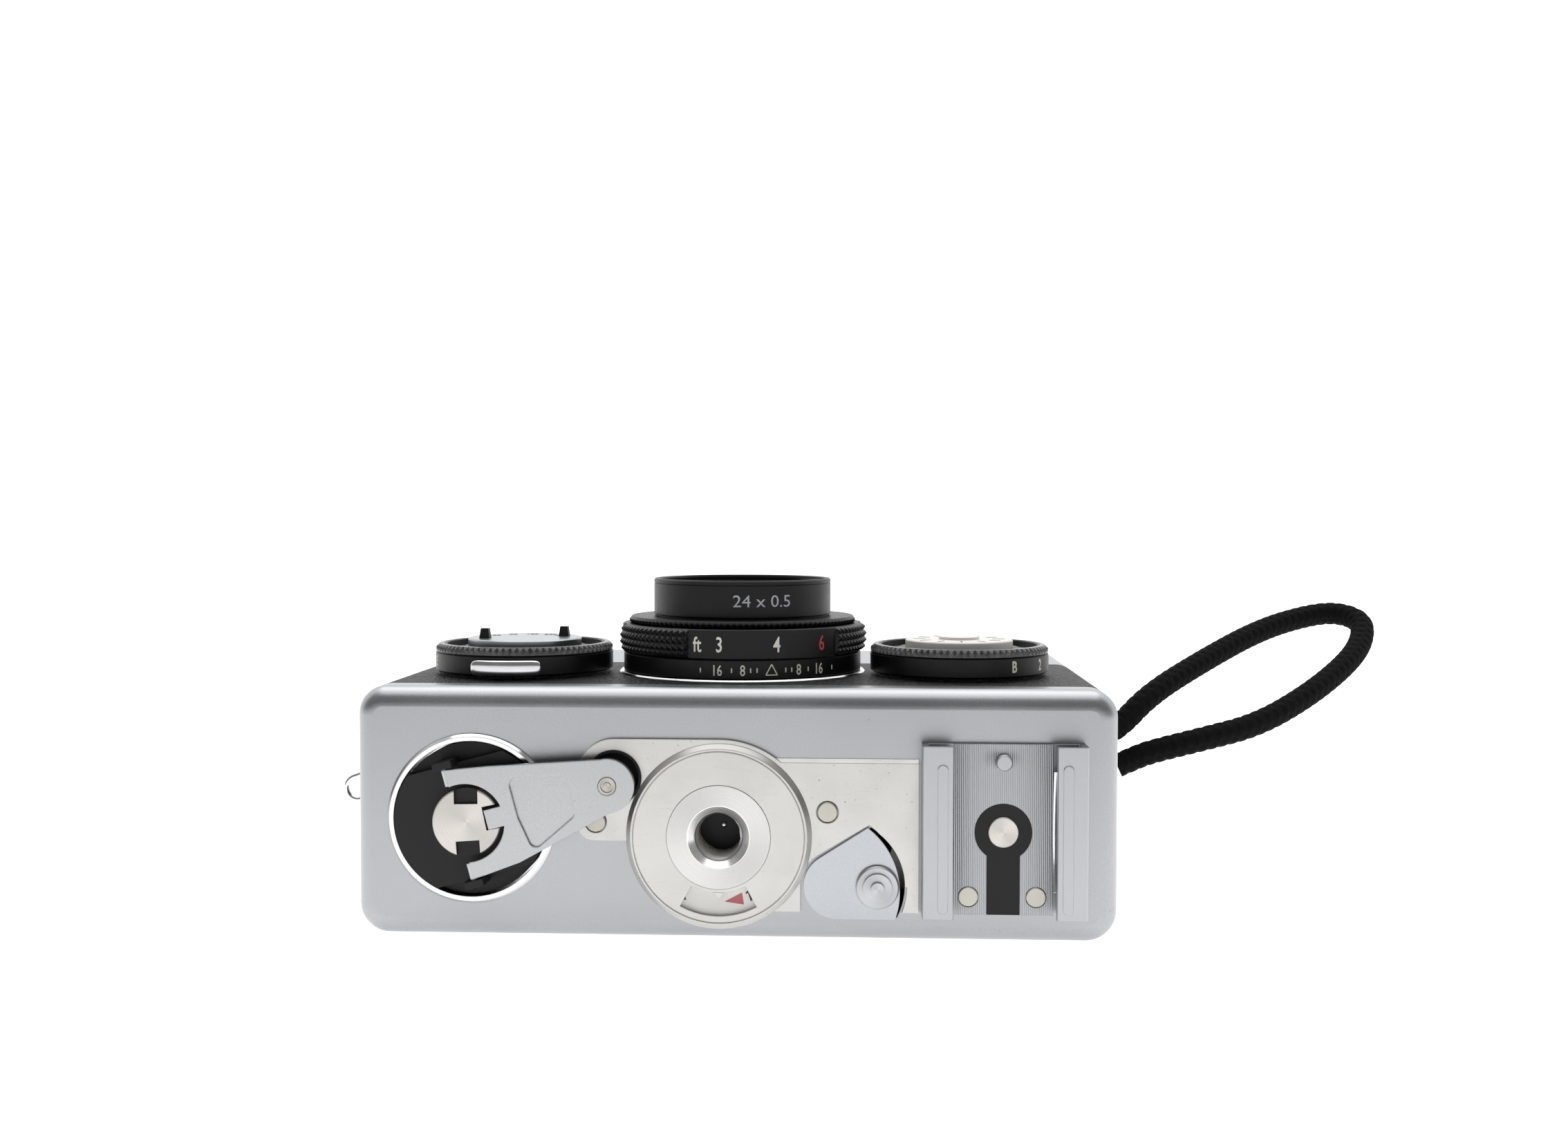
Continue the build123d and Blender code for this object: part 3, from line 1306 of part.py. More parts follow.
def strap_cord():
    """Wrist strap cord: one loop with both ends in the clasp."""
    points = [Vector(*p) for p in cord_route()]
    radii = []
    for a, b, c in zip(points, points[1:], points[2:]):
        turn = radians((b - a).get_angle(c - b))
        run = min((b - a).length, (c - b).length)
        radii.append(0.45 * run / tan(turn / 2))
    print("cord bend radii", [round(r, 1) for r in radii])
    path = FilletPolyline(*points, radius=radii)
    start = Plane(origin=points[0], z_dir=points[1] - points[0])
    cord = sweep(start * Circle(cord_diameter / 2), path=path)
    want = path.length * pi * cord_diameter**2 / 4
    print("cord length", round(path.length, 2), "volume", round(cord.volume, 2), "expected", round(want, 2))
    return cord


PARTS = (
    back_cover, back_leather, front_leather, front_shell, top_cover, chassis, takeup_spool, film_sprocket,
    pressure_plate, lens_sleeve, lens_tube, depth_ring, focus_ring, front_ring, filter_ring, filter_glass,
    front_cell, front_element, rear_element, shutter_case, aperture_blades, shutter_blades, aperture_dial,
    shutter_dial, speed_disc, speed_pins, type_disc, lock_tab, rewind_bezel, rewind_disc, rewind_hub,
    crank_arm, crank_knob, crank_rivet, crank_pocket, base_plate, rivets, counter_housing, counter_disc,
    tripod_bush, lock_lever, lock_knob, shoe_frame, shoe_insulator, shoe_contact, shoe_spring,
    finder_glass, finder_block, eyepiece, meter_cell, meter_window, meter_needle, battery,
    release_button, lens_button, advance_lever, strap_lugs, strap_ring, strap_clasp, strap_cord,
)

if __name__ == "__main__":
    export({make.__name__: make() for make in PARTS})
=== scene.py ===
import math

import bpy
import numpy as np
from mathutils import Matrix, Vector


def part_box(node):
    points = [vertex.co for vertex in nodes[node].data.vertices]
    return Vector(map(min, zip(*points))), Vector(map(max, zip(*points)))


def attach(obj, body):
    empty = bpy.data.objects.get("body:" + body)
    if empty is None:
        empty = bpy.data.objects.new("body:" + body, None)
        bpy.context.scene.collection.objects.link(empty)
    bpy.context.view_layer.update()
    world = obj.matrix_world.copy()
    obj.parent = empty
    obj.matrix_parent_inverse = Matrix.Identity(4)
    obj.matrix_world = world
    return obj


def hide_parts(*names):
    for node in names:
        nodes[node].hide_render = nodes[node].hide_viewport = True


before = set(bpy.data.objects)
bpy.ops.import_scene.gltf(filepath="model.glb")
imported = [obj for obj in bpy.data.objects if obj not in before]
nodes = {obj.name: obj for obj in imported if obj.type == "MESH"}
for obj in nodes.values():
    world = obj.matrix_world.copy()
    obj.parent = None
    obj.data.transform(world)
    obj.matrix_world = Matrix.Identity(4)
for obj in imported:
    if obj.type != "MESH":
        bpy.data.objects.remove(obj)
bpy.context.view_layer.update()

mm = 0.001
tau = 2 * math.pi
print("frame loaded:", len(nodes), "nodes")


def middle(node):
    # middle of a node's box, in mm
    low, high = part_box(node)
    return np.array((low + high) / 2) / mm


def low(node):
    return np.array(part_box(node)[0]) / mm


def high(node):
    return np.array(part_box(node)[1]) / mm


# the places that most pieces are set out from
lensMid = middle("depth_ring")
baseY = low("back_cover")[1]
bossMid = middle("counter_housing")
hubMid = middle("rewind_bezel")
shoeMid = middle("shoe_frame")
plateTop = low("base_plate")[1]
bossTop = low("counter_housing")[1]


# shader sums written as sums
class sock:
    # an output socket that adds its own Math nodes when it is used in a sum

    def __init__(self, made, out):
        self.made, self.out = made, out

    def sum(self, how, other=0.0, turned=False):
        first, second = (other, self) if turned else (self, other)
        return self.made.add("ShaderNodeMath", {"operation": how}, {0: first, 1: second})

    def __add__(self, other):
        return self.sum("ADD", other)

    def __radd__(self, other):
        return self.sum("ADD", other, True)

    def __sub__(self, other):
        return self.sum("SUBTRACT", other)

    def __rsub__(self, other):
        return self.sum("SUBTRACT", other, True)

    def __mul__(self, other):
        return self.sum("MULTIPLY", other)

    def __rmul__(self, other):
        return self.sum("MULTIPLY", other, True)

    def __truediv__(self, other):
        return self.sum("DIVIDE", other)

    def __pow__(self, other):
        return self.sum("POWER", other)

    def __gt__(self, other):
        return self.sum("GREATER_THAN", other)


class finish:
    # one material, made node by node

    def __init__(self, name, world=None):
        self.mat = world or bpy.data.materials.new(name)
        self.mat.use_nodes = True
        self.tree = self.mat.node_tree
        self.tree.nodes.clear()
        self.place = self.add("ShaderNodeTexCoord", out="Object")

    def add(self, kind, settings={}, inputs={}, out=0):
        made = self.tree.nodes.new(kind)
        for key, value in settings.items():
            if key == "stops":
                ramp = made.color_ramp
                while len(ramp.elements) < len(value):
                    ramp.elements.new(0.5)
                for element, (spot, tone) in zip(ramp.elements, value):
                    element.position = spot
                    element.color = tone if hasattr(tone, "__len__") else (tone, tone, tone, 1)
            else:
                setattr(made, key, value)
        for key, value in inputs.items():
            if isinstance(value, sock):
                self.tree.links.new(value.out, made.inputs[key])
            else:
                made.inputs[key].default_value = value
        return sock(self, made.outputs[out]) if made.outputs else made

    def noise(self, scale, detail=2.0, rough=0.5, place=None):
        inputs = {"Vector": place or self.place, "Scale": scale, "Detail": detail, "Roughness": rough}
        return self.add("ShaderNodeTexNoise", {}, inputs)

    def lines(self, along, detail):
        # noise along one number, so it lies in lines or rings
        inputs = {"W": along, "Scale": 1.0, "Detail": detail}
        return self.add("ShaderNodeTexNoise", {"noise_dimensions": "1D"}, inputs)

    def ramp(self, value, *stops):
        return self.add("ShaderNodeValToRGB", {"stops": stops}, {0: value})

    def mix(self, amount, first, second):
        return self.add("ShaderNodeMix", {"data_type": "RGBA"}, {0: amount, 6: first, 7: second}, 2)

    def moved(self, spot=(0, 0, 0), turn=(0, 0, 0), scale=(1, 1, 1)):
        inputs = {"Vector": self.place, "Location": spot, "Rotation": turn, "Scale": scale}
        return self.add("ShaderNodeMapping", {}, inputs)

    def apart(self, vector):
        cut = self.add("ShaderNodeSeparateXYZ", {}, {0: vector})
        return [sock(self, cut.out.node.outputs[k]) for k in range(3)]

    def bump(self, height, strength, depth, normal=None):
        inputs = {"Height": height, "Strength": strength, "Distance": depth * mm}
        if normal:
            inputs["Normal"] = normal
        return self.add("ShaderNodeBump", {}, inputs)

    def soft(self, radius):
        # normal of edges rounded over by a radius in mm
        return self.add("ShaderNodeBevel", {"samples": 4}, {"Radius": radius * mm})

    def shade(self, **inputs):
        named = {key.replace("_", " "): value for key, value in inputs.items()}
        shader = self.add("ShaderNodeBsdfPrincipled", {}, named)
        self.add("ShaderNodeOutputMaterial", {}, {"Surface": shader})
        return self.mat


def tone(r, g, b):
    return (r, g, b, 1.0)


def greyed(colour, amount):
    # the colour with each channel times amount
    return tone(*[c * amount for c in colour[:3]])


# finishes
satin = {"colour": tone(0.415, 0.425, 0.44), "rough": 0.34, "edge": 0.18}


def satinChrome(name="satinChrome", colour=satin["colour"], rough=satin["rough"], edge=satin["edge"]):
    # matt chrome plating: fine blasted grain, faint blotches and a few dark pin pricks
    f = finish(name)
    grain = f.noise(5200, 3, 0.6)
    blotch = f.noise(55, 3)
    fleck = f.ramp(f.noise(1500, 2), (0.0, 1.0), (0.215, 1.0), (0.235, 0.0), (1.0, 0.0))
    dirt = f.ramp(blotch, (0.3, 0.0), (0.7, 1.0))
    plate = f.mix(dirt, greyed(colour, 0.88), greyed(colour, 1.03))
    speckled = f.mix(f.ramp(grain, (0.3, 0.0), (0.7, 1.0)), greyed(colour, 0.84), plate)
    base = f.mix(fleck * 0.8, speckled, greyed(colour, 0.4))
    normal = f.bump(grain, 0.22, 0.02, f.soft(edge))
    gloss = rough + (grain - 0.5) * 0.16 + (blotch - 0.5) * 0.10
    return f.shade(Base_Color=base, Metallic=1.0, Roughness=gloss, Normal=normal)


def wornNickel(name="wornNickel", colour=tone(0.52, 0.51, 0.49), rough=0.33):
    # older nickel plate: warmer, with specks of tarnish, hairline scratches and rubbed patches
    f = finish(name)
    grain = f.noise(3600, 3, 0.65)
    patch = f.noise(170, 4, 0.6)
    speck = f.ramp(f.noise(2300, 3, 0.7), (0.0, 0.0), (0.27, 0.0), (0.33, 1.0), (1.0, 1.0))
    turned = f.moved(turn=(0, 0.6, 0), scale=(1, 1, 22))
    hair = f.noise(260, 2, 0.5, turned)
    scratch = f.ramp(hair, (0.0, 1.0), (0.66, 1.0), (0.685, 0.55), (0.70, 1.0), (1.0, 1.0))
    rubAndGlint = f.ramp(patch, (0.25, 0.80), (0.6, 1.0))
    worn = f.mix(rubAndGlint, greyed(colour, 0.80), colour)
    base = f.mix(speck, greyed(colour, 0.42), f.mix(scratch, greyed(colour, 0.7), worn))
    normal = f.bump(grain, 0.28, 0.02, f.bump(scratch, 0.3, 0.01, f.soft(0.14)))
    return f.shade(Base_Color=base, Metallic=1.0, Roughness=rough + (patch - 0.5) * 0.30, Normal=normal)


def polishedChrome(name="polishedChrome", dull=tone(0.62, 0.62, 0.63), clean=tone(0.74, 0.74, 0.75)):
    f = finish(name)
    smear = f.noise(420, 3)
    return f.shade(Base_Color=f.mix(smear, dull, clean), Metallic=1.0, Roughness=0.09 + smear * 0.09,
                   Normal=f.bump(f.noise(150, 1), 0.08, 0.05, f.soft(0.12)))


def turnedFace(name, centre, colour=tone(0.62, 0.59, 0.56), mouth=0.0):
    # face turned in a lathe: rings about its centre in X and Z, with a painted sheen of light and dark
    # sectors by direction;
    # inside the mouth's radius it is bright and smooth, as a countersunk edge is
    f = finish(name)
    x, y, z = f.apart(f.moved(spot=(-centre[0] * mm, 0, -centre[2] * mm)))
    radius = (x * x + z * z) ** 0.5
    ring = f.lines(radius * 5200, 2.0)
    angle = x.sum("ARCTAN2", z)
    # painted sheen: light and dark sectors round the centre stand in for the turned face's reflection
    sheenSweep = (angle * 2.0).sum("SINE") * 0.5 + 0.5
    paintedSheen = f.mix(sheenSweep, greyed(colour, 0.78), greyed(colour, 1.12))
    cut = 1.0 - (radius > mouth * mm)
    base = f.mix(cut, f.mix(ring, greyed(colour, 0.80), paintedSheen), tone(0.88, 0.88, 0.87))
    return f.shade(Base_Color=base, Metallic=1.0, Roughness=0.30 + ring * 0.18 - cut * 0.14,
                   Normal=f.bump(ring, 0.25, 0.012, f.soft(0.08)))


def blackEnamel(name="blackEnamel", colour=tone(0.004, 0.004, 0.005), rough=0.26, edge=0.12):
    # satin black enamel with dust and a slightly uneven skin
    f = finish(name)
    skin = f.noise(1300, 3, 0.6)
    dust = f.ramp(f.noise(2600, 2, 0.6), (0.0, 0.0), (0.70, 0.0), (0.74, 1.0), (1.0, 1.0))
    base = f.mix(dust * 0.35, colour, tone(0.05, 0.05, 0.055))
    return f.shade(Base_Color=base, Roughness=rough + skin * 0.16, Specular_IOR_Level=0.26,
                   Normal=f.bump(skin, 0.10, 0.015, f.soft(edge)))


dial = {"radius": 12.25, "teeth": 84, "toothTall": 1.0, "toothDeep": 0.55, "grooveIn": 8.3, "grooveOut": 10.7,
        "grooveDeep": 0.9, "seat": 0.5, "bore": 1.05, "lift": 0.45}


def dialBlack(name, node):
    # dial enamel: glossy on its crown of teeth and lightened there with a painted highlight, with bare plate
    # on the floor of its groove
    f = finish(name)
    mid, top = middle(node), high(node)[2]
    x, y, z = f.apart(f.moved(spot=(-mid[0] * mm, -mid[1] * mm, 0)))
    radius = (x * x + y * y) ** 0.5
    skin = f.noise(1300, 3, 0.6)
    crown = (z > (top - dial["toothTall"]) * mm) * (radius > (dial["grooveOut"] + 0.4) * mm)
    groove = (radius > (dial["grooveIn"] + 0.15) * mm) * (1.0 - (radius > (dial["grooveOut"] - 0.15) * mm))
    # painted highlight: the crown of teeth is made paler where its facets catch the light
    rubAndGlint = f.mix(crown * skin, tone(0.004, 0.004, 0.005), tone(0.20, 0.20, 0.205))
    return f.shade(Base_Color=f.mix(groove, rubAndGlint, tone(0.33, 0.33, 0.34)), Metallic=groove,
                   Roughness=0.30 + skin * 0.16 - crown * 0.16, Normal=f.bump(skin, 0.10, 0.015),
                   Specular_IOR_Level=0.28)


def mattBlack(name="mattBlack", colour=tone(0.006, 0.006, 0.007)):
    f = finish(name)
    grain = f.noise(4200, 3, 0.7)
    return f.shade(Base_Color=f.mix(grain, colour, greyed(colour, 1.9)), Roughness=0.42 + grain * 0.2,
                   Specular_IOR_Level=0.3,
                   Normal=f.bump(grain, 0.35, 0.02, f.soft(0.1)))


def leatherette(name="leatherette"):
    # pebbled leatherette: rounded cells of uneven size, pale on their crowns, with finer creases
    f = finish(name)
    drift = f.add("ShaderNodeVectorMath", {"operation": "MULTIPLY_ADD"},
                  {0: f.add("ShaderNodeTexNoise", {}, {"Vector": f.place, "Scale": 700.0}, "Color"),
                   1: (0.0006, 0.0006, 0.0006), 2: f.place})
    pebble = {"Vector": drift, "Scale": 1150.0}
    cell = f.add("ShaderNodeTexVoronoi", {"feature": "SMOOTH_F1"}, {**pebble, "Smoothness": 0.35})
    crease = f.add("ShaderNodeTexVoronoi", {"feature": "DISTANCE_TO_EDGE"}, pebble)
    fine = f.noise(5200, 3, 0.6)
    crown = f.ramp(crease, (0.0, 0.0), (0.16, 0.8), (0.5, 1.0))
    height = crown * 0.8 + (1.0 - cell) * 0.35 + fine * 0.14
    base = f.mix(crown, tone(0.003, 0.003, 0.003), tone(0.010, 0.010, 0.011))
    return f.shade(Base_Color=base, Roughness=0.36 + fine * 0.26, Specular_IOR_Level=0.3,
                   Normal=f.bump(height, 1.0, 0.22))


def serrated(name="serratedFloor"):
    # shoe floor: satin plate ruled with fine uneven grooves that run along Z, between the lips only
    f = finish(name)
    x, y, z = f.apart(f.place)
    rule = f.lines(x * 5400, 1.0)
    comb = (x * (tau / (0.235 * mm))).sum("SINE") * 0.5 + 0.5
    edge = (x - shoeMid[0] * mm).sum("ABSOLUTE")
    inside = 1.0 - (edge > 6.25 * mm)
    floor = inside * (y > (baseY - 1.0) * mm)
    groove = comb * (0.35 + rule * 0.9)
    colour = satin["colour"]
    grain = f.noise(5200, 3, 0.6)
    lined = f.mix(groove, greyed(colour, 0.62), greyed(colour, 1.15))
    base = f.mix(floor, colour, lined)
    height = floor * groove * 3.0 + grain * 0.4
    return f.shade(Base_Color=base, Metallic=1.0, Roughness=0.31 + grain * 0.12,
                   Normal=f.bump(height, 0.5, 0.035, f.soft(0.16)))


def ink(name, colour, rough=0.55):
    f = finish(name)
    wear = f.noise(2600, 2)
    return f.shade(Base_Color=f.mix(wear, greyed(colour, 0.82), colour), Roughness=rough,
                   Normal=f.bump(wear, 0.1, 0.01))


def coatedGlass(name="coatedGlass", tint=tone(0.86, 0.88, 0.95)):
    f = finish(name)
    faint = f.noise(90, 1)
    return f.shade(Base_Color=f.mix(faint, tint, greyed(tint, 0.96)), Roughness=0.02, Transmission_Weight=1.0,
                   IOR=1.5, Coat_Weight=0.6)


def clothBraid(name="clothBraid"):
    # Black braided cord: crossing strands from the tube's own shape, fine fibres from noise.
    f = finish(name)
    fibre = f.noise(9000, 3, 0.7)
    loose = f.noise(1400, 2)
    base = f.mix(fibre, tone(0.002, 0.002, 0.0025), tone(0.010, 0.010, 0.011))
    return f.shade(Base_Color=base, Roughness=0.9, Specular_IOR_Level=0.12,
                   Normal=f.bump(fibre + loose * 0.6, 0.6, 0.06))


def castMetal(name="castMetal"):
    f = finish(name)
    sand = f.noise(2400, 4, 0.7)
    return f.shade(Base_Color=f.mix(sand, tone(0.02, 0.02, 0.022), tone(0.05, 0.05, 0.053)), Metallic=0.3,
                   Roughness=0.55 + sand * 0.2, Normal=f.bump(sand, 0.4, 0.05, f.soft(0.2)))


def paperWhite(name="paperWhite"):
    f = finish(name)
    blot = f.noise(700, 3)
    return f.shade(Base_Color=f.mix(blot, tone(0.70, 0.69, 0.66), tone(0.80, 0.79, 0.76)), Roughness=0.42,
                   Normal=f.bump(blot, 0.1, 0.02, f.soft(0.1)))


finishes = {
    "satin": satinChrome(),
    "arm": satinChrome("armChrome", tone(0.435, 0.445, 0.455), 0.30, 0.2),
    "lever": satinChrome("leverChrome", tone(0.46, 0.475, 0.50), 0.30, 0.12),
    "nickel": wornNickel(),
    "rivetSteel": wornNickel("rivetSteel", tone(0.50, 0.48, 0.43), 0.42),
    "chrome": polishedChrome(),
    "tab": polishedChrome("tabChrome", tone(0.50, 0.50, 0.51), tone(0.66, 0.66, 0.67)),
    "enamel": blackEnamel(),
    "ringBlack": blackEnamel("ringBlack", rough=0.30, edge=0.08),
    "matt": mattBlack(),
    "leather": leatherette(),
    "floor": serrated(),
    "glass": coatedGlass(),
    "braid": clothBraid(),
    "cast": castMetal(),
    "paper": paperWhite(),
    "white": ink("creamInk", tone(0.80, 0.77, 0.68)),
    "red": ink("redInk", tone(0.52, 0.05, 0.06)),
    "paleRed": ink("paleRedInk", tone(0.50, 0.13, 0.14)),
    "dark": ink("darkInk", tone(0.03, 0.03, 0.03)),
    "greyInk": ink("greyInk", tone(0.42, 0.43, 0.46)),
    "hub": turnedFace("hubSteel", hubMid),
    "contact": turnedFace("contactSteel", middle("shoe_contact")),
    "knob": turnedFace("knobSteel", middle("lock_knob"), tone(0.52, 0.525, 0.54)),
    "bush": turnedFace("bushNickel", bossMid, tone(0.66, 0.655, 0.64), 3.98),
    "pin": turnedFace("pinSteel", middle("crank_rivet"), tone(0.50, 0.48, 0.45)),
    "apertureBlack": dialBlack("apertureBlack", "aperture_dial"),
    "shutterBlack": dialBlack("shutterBlack", "shutter_dial"),
}
print("finishes:", len(finishes))

wears = {
    "satin": "back_cover front_shell top_cover",
    "arm": "crank_arm speed_disc",
    "lever": "lock_lever",
    "knob": "lock_knob",
    "nickel": "base_plate counter_housing",
    "bush": "tripod_bush",
    "chrome": "lens_sleeve lens_tube rewind_bezel release_button lens_button advance_lever strap_lugs "
              "strap_clasp shoe_spring strap_ring",
    "ringBlack": "depth_ring",
    "enamel": "front_cell shutter_case aperture_blades shutter_blades",
    "matt": "rewind_disc crank_knob crank_pocket shoe_insulator speed_pins eyepiece finder_block "
            "takeup_spool meter_needle pressure_plate",
    "leather": "back_leather front_leather",
    "floor": "shoe_frame",
    "hub": "rewind_hub",
    "contact": "shoe_contact",
    "pin": "crank_rivet",
    "rivetSteel": "rivets film_sprocket battery",
    "paper": "counter_disc type_disc",
    "glass": "filter_glass front_element rear_element finder_glass meter_window meter_cell",
    "cast": "chassis",
}
for kind, names in wears.items():
    for name in names.split():
        slots = nodes[name].data.materials
        slots.clear()
        slots.append(finishes[kind])


# surfaces from grids
def putMesh(name, points, faces, kind, body, stands=(), keen=35):
    # a mesh from points in mm and quads, with edges sharper than keen degrees kept sharp
    mesh = bpy.data.meshes.new(name)
    mesh.vertices.add(len(points))
    mesh.vertices.foreach_set("co", (np.asarray(points, float) * mm).ravel())
    sides = faces.shape[1]
    mesh.loops.add(faces.size)
    mesh.loops.foreach_set("vertex_index", faces.ravel().astype(np.int32))
    mesh.polygons.add(len(faces))
    mesh.polygons.foreach_set("loop_start", np.arange(0, faces.size, sides, dtype=np.int32))
    mesh.polygons.foreach_set("loop_total", np.full(len(faces), sides, np.int32))
    mesh.update(calc_edges=True)
    mesh.validate()
    mesh.polygons.foreach_set("use_smooth", np.ones(len(mesh.polygons), bool))
    mesh.set_sharp_from_angle(angle=math.radians(keen))
    mesh.materials.append(finishes[kind])
    made = bpy.data.objects.new(name, mesh)
    bpy.context.scene.collection.objects.link(made)
    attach(made, body)
    if stands:
        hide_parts(*stands)
    return made


def gridFaces(across, along, wrapAcross, wrapAlong):
    # quads of a grid of points, joined end to start where it wraps
    i = np.arange(across if wrapAcross else across - 1)
    j = np.arange(along if wrapAlong else along - 1)
    a, b = np.meshgrid(i, j, indexing="ij")
    a2, b2 = (a + 1) % across, (b + 1) % along
    return np.stack([a * along + b, a2 * along + b, a2 * along + b2, a * along + b2], -1).reshape(-1, 4)


def lathe(profile, steps, centre, shape=None, axis="z"):
    # a closed profile of (radius, height) turned about an axis; shape may move the radius at any angle
    profile = np.asarray(profile, float)
    angle = np.linspace(0, tau, steps, endpoint=False)[:, None]
    radius, height = profile[None, :, 0], profile[None, :, 1]
    if shape is not None:
        radius = shape(angle, radius, height)
    radius = np.broadcast_to(radius, (steps, len(profile)))
    height = np.broadcast_to(height, radius.shape)
    across, up = radius * np.cos(angle), radius * np.sin(angle)
    if axis == "z":
        spot = np.stack([centre[0] + across, centre[1] + up, height], -1)
    else:
        spot = np.stack([centre[0] + across, height, centre[2] + up], -1)
    faces = gridFaces(steps, len(profile), True, True)
    return spot.reshape(-1, 3), (faces if axis == "z" else faces[:, ::-1])


def between(first, last, count):
    # points spread evenly from first to last, without the last
    return [tuple(np.add(first, np.subtract(last, first) * k / count)) for k in range(count)]


def closedPath(*stretches):
    # joins (start point, number of steps) corners into one closed profile
    path = []
    for (corner, count), (following, _) in zip(stretches, stretches[1:] + stretches[:1]):
        path += between(corner, following, count)
    return path


def wave(phase):
    # triangle wave from 0 to 1 and back, once for each whole number
    return 1 - np.abs((phase % 1.0) * 2 - 1)


# camera, cord, stage and light
view = {"spot": (15.20, -225.98, 53.39), "turn": 2.579, "tip": -1.838, "roll": -0.066,
        "sensor": 36.0, "focal": 35.87}


def placeCamera(view):
    # turns about the upright, then the tip, then the roll, from a start that looks along +Y
    lens = bpy.data.cameras.new("camera")
    lens.sensor_width, lens.lens = view["sensor"], view["focal"]
    lens.clip_start, lens.clip_end = 0.005, 20
    eye = bpy.data.objects.new("camera", lens)
    turn, tip, roll = (math.radians(view[k]) for k in ("turn", "tip", "roll"))
    facing = Matrix.Rotation(turn, 3, "Z") @ Matrix.Rotation(tip, 3, "X") @ Matrix.Rotation(roll, 3, "Y")
    eye.rotation_euler = (facing @ Matrix.Rotation(math.pi / 2, 3, "X")).to_euler()
    eye.location = [c * mm for c in view["spot"]]
    bpy.context.scene.collection.objects.link(eye)
    bpy.context.scene.camera = eye


placeCamera(view)

strap = {"diameter": 3.7, "strands": 8, "lay": 6.4, "ridge": 0.26, "step": 0.2, "around": 48,
         "gap": 1.5, "rise": 24.0, "reach": 5.2, "lead": 2.5,
         "loop": [(61.0, 18.5, 26.2), (71.0, 27.0, 30.7), (82.0, 36.0, 35.0), (91.0, 41.5, 37.1),
                  (96.7, 42.3, 37.8), (100.0, 38.5, 36.5), (98.3, 33.5, 33.4), (94.0, 27.5, 30.3),
                  (86.0, 20.5, 26.0), (77.0, 15.5, 22.0), (68.5, 14.0, 20.0), (60.5, 15.8, 17.6)]}


def strapRoute(strap):
    # the route's points in mm: out of the clasp, round the loop and back, with the clasp's own slope
    low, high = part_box("strap_lugs")
    eye = np.array([high.x / mm - 1.75, (low.y + high.y) / 2 / mm, (low.z + high.z) / 2 / mm])
    rise = math.radians(strap["rise"])
    out = np.array([math.cos(rise), 0, math.sin(rise)])
    side = np.array([-math.sin(rise), 0, math.cos(rise)]) * (strap["diameter"] + strap["gap"]) / 2
    first = eye + out * strap["reach"] + side
    last = eye + out * strap["reach"] - side
    lead = out * strap["lead"]
    return np.array([first, first + lead, *strap["loop"], last + lead, last])


def routeLine(points):
    # the smooth line of a route, read from its NURBS curve
    curve = bpy.data.curves.new("route", "CURVE")
    curve.dimensions = "3D"
    curve.resolution_u = 24
    line = curve.splines.new("NURBS")
    line.points.add(len(points) - 1)
    line.points.foreach_set("co", np.c_[points * mm, np.ones(len(points))].ravel())
    line.order_u = 3
    line.use_endpoint_u = True
    holder = bpy.data.objects.new("route", curve)
    bpy.context.scene.collection.objects.link(holder)
    dg = bpy.context.evaluated_depsgraph_get()
    mesh = bpy.data.meshes.new_from_object(holder.evaluated_get(dg))
    spots = np.zeros(len(mesh.vertices) * 3)
    mesh.vertices.foreach_get("co", spots)
    bpy.data.objects.remove(holder)
    bpy.data.meshes.remove(mesh)
    return spots.reshape(-1, 3) / mm


def evenly(line, step):
    # the line's points moved to even steps along it
    run = np.r_[0, np.cumsum(np.linalg.norm(np.diff(line, axis=0), axis=1))]
    count = int(run[-1] / step)
    want = np.linspace(0, run[-1], count)
    return np.stack([np.interp(want, run, line[:, k]) for k in range(3)], -1), want


def braidedTube(strap):
    # tube about the strap's line: its radius rises where one of two crossing sets of strands lies on top
    line, run = evenly(routeLine(strapRoute(strap)), strap["step"])
    way = np.gradient(line, axis=0)
    way /= np.linalg.norm(way, axis=1)[:, None]
    side = np.zeros_like(line)
    start = np.cross(way[0], (0, 1, 0))
    side[0] = start / np.linalg.norm(start)
    for k in range(1, len(line)):
        carried = side[k - 1] - way[k] * (side[k - 1] @ way[k])
        side[k] = carried / np.linalg.norm(carried)
    up = np.cross(way, side)
    angle = np.linspace(0, tau, strap["around"], endpoint=False)
    half = strap["strands"] / 2
    turns = run[:, None] / strap["lay"]
    one = np.abs(np.sin((angle[None] / tau + turns) * half * math.pi))
    two = np.abs(np.sin((angle[None] / tau - turns) * half * math.pi))
    over = np.maximum(one, two) ** 1.5
    radius = strap["diameter"] / 2 - strap["ridge"] + strap["ridge"] * over
    spot = (line[:, None] + radius[..., None] * (np.cos(angle)[None, :, None] * side[:, None]
                                                 + np.sin(angle)[None, :, None] * up[:, None]))
    count, around = spot.shape[:2]
    points = np.concatenate([spot.reshape(-1, 3), line[[0, -1]]])
    body = gridFaces(count, around, False, True)[:, ::-1]
    ring = np.arange(around)
    following = np.roll(ring, -1)
    foot = (count - 1) * around
    head = np.stack([ring, following, np.full(around, count * around)], -1)
    tail = np.stack([foot + following, foot + ring, np.full(around, count * around + 1)], -1)
    return points, body, head, tail, line


def addStrap(strap):
    points, body, head, tail, line = braidedTube(strap)
    mesh = bpy.data.meshes.new("strapCord")
    mesh.from_pydata((points * mm).tolist(), [], body.tolist() + head.tolist() + tail.tolist())
    mesh.validate()
    mesh.polygons.foreach_set("use_smooth", np.ones(len(mesh.polygons), bool))
    mesh.materials.append(finishes["braid"])
    made = bpy.data.objects.new("strapCord", mesh)
    bpy.context.scene.collection.objects.link(made)
    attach(made, "strap")
    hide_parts("strap_cord")
    length = np.linalg.norm(np.diff(line, axis=0), axis=1).sum()
    length * mm
    print("strap cord:", round(length, 1), "mm")


addStrap(strap)

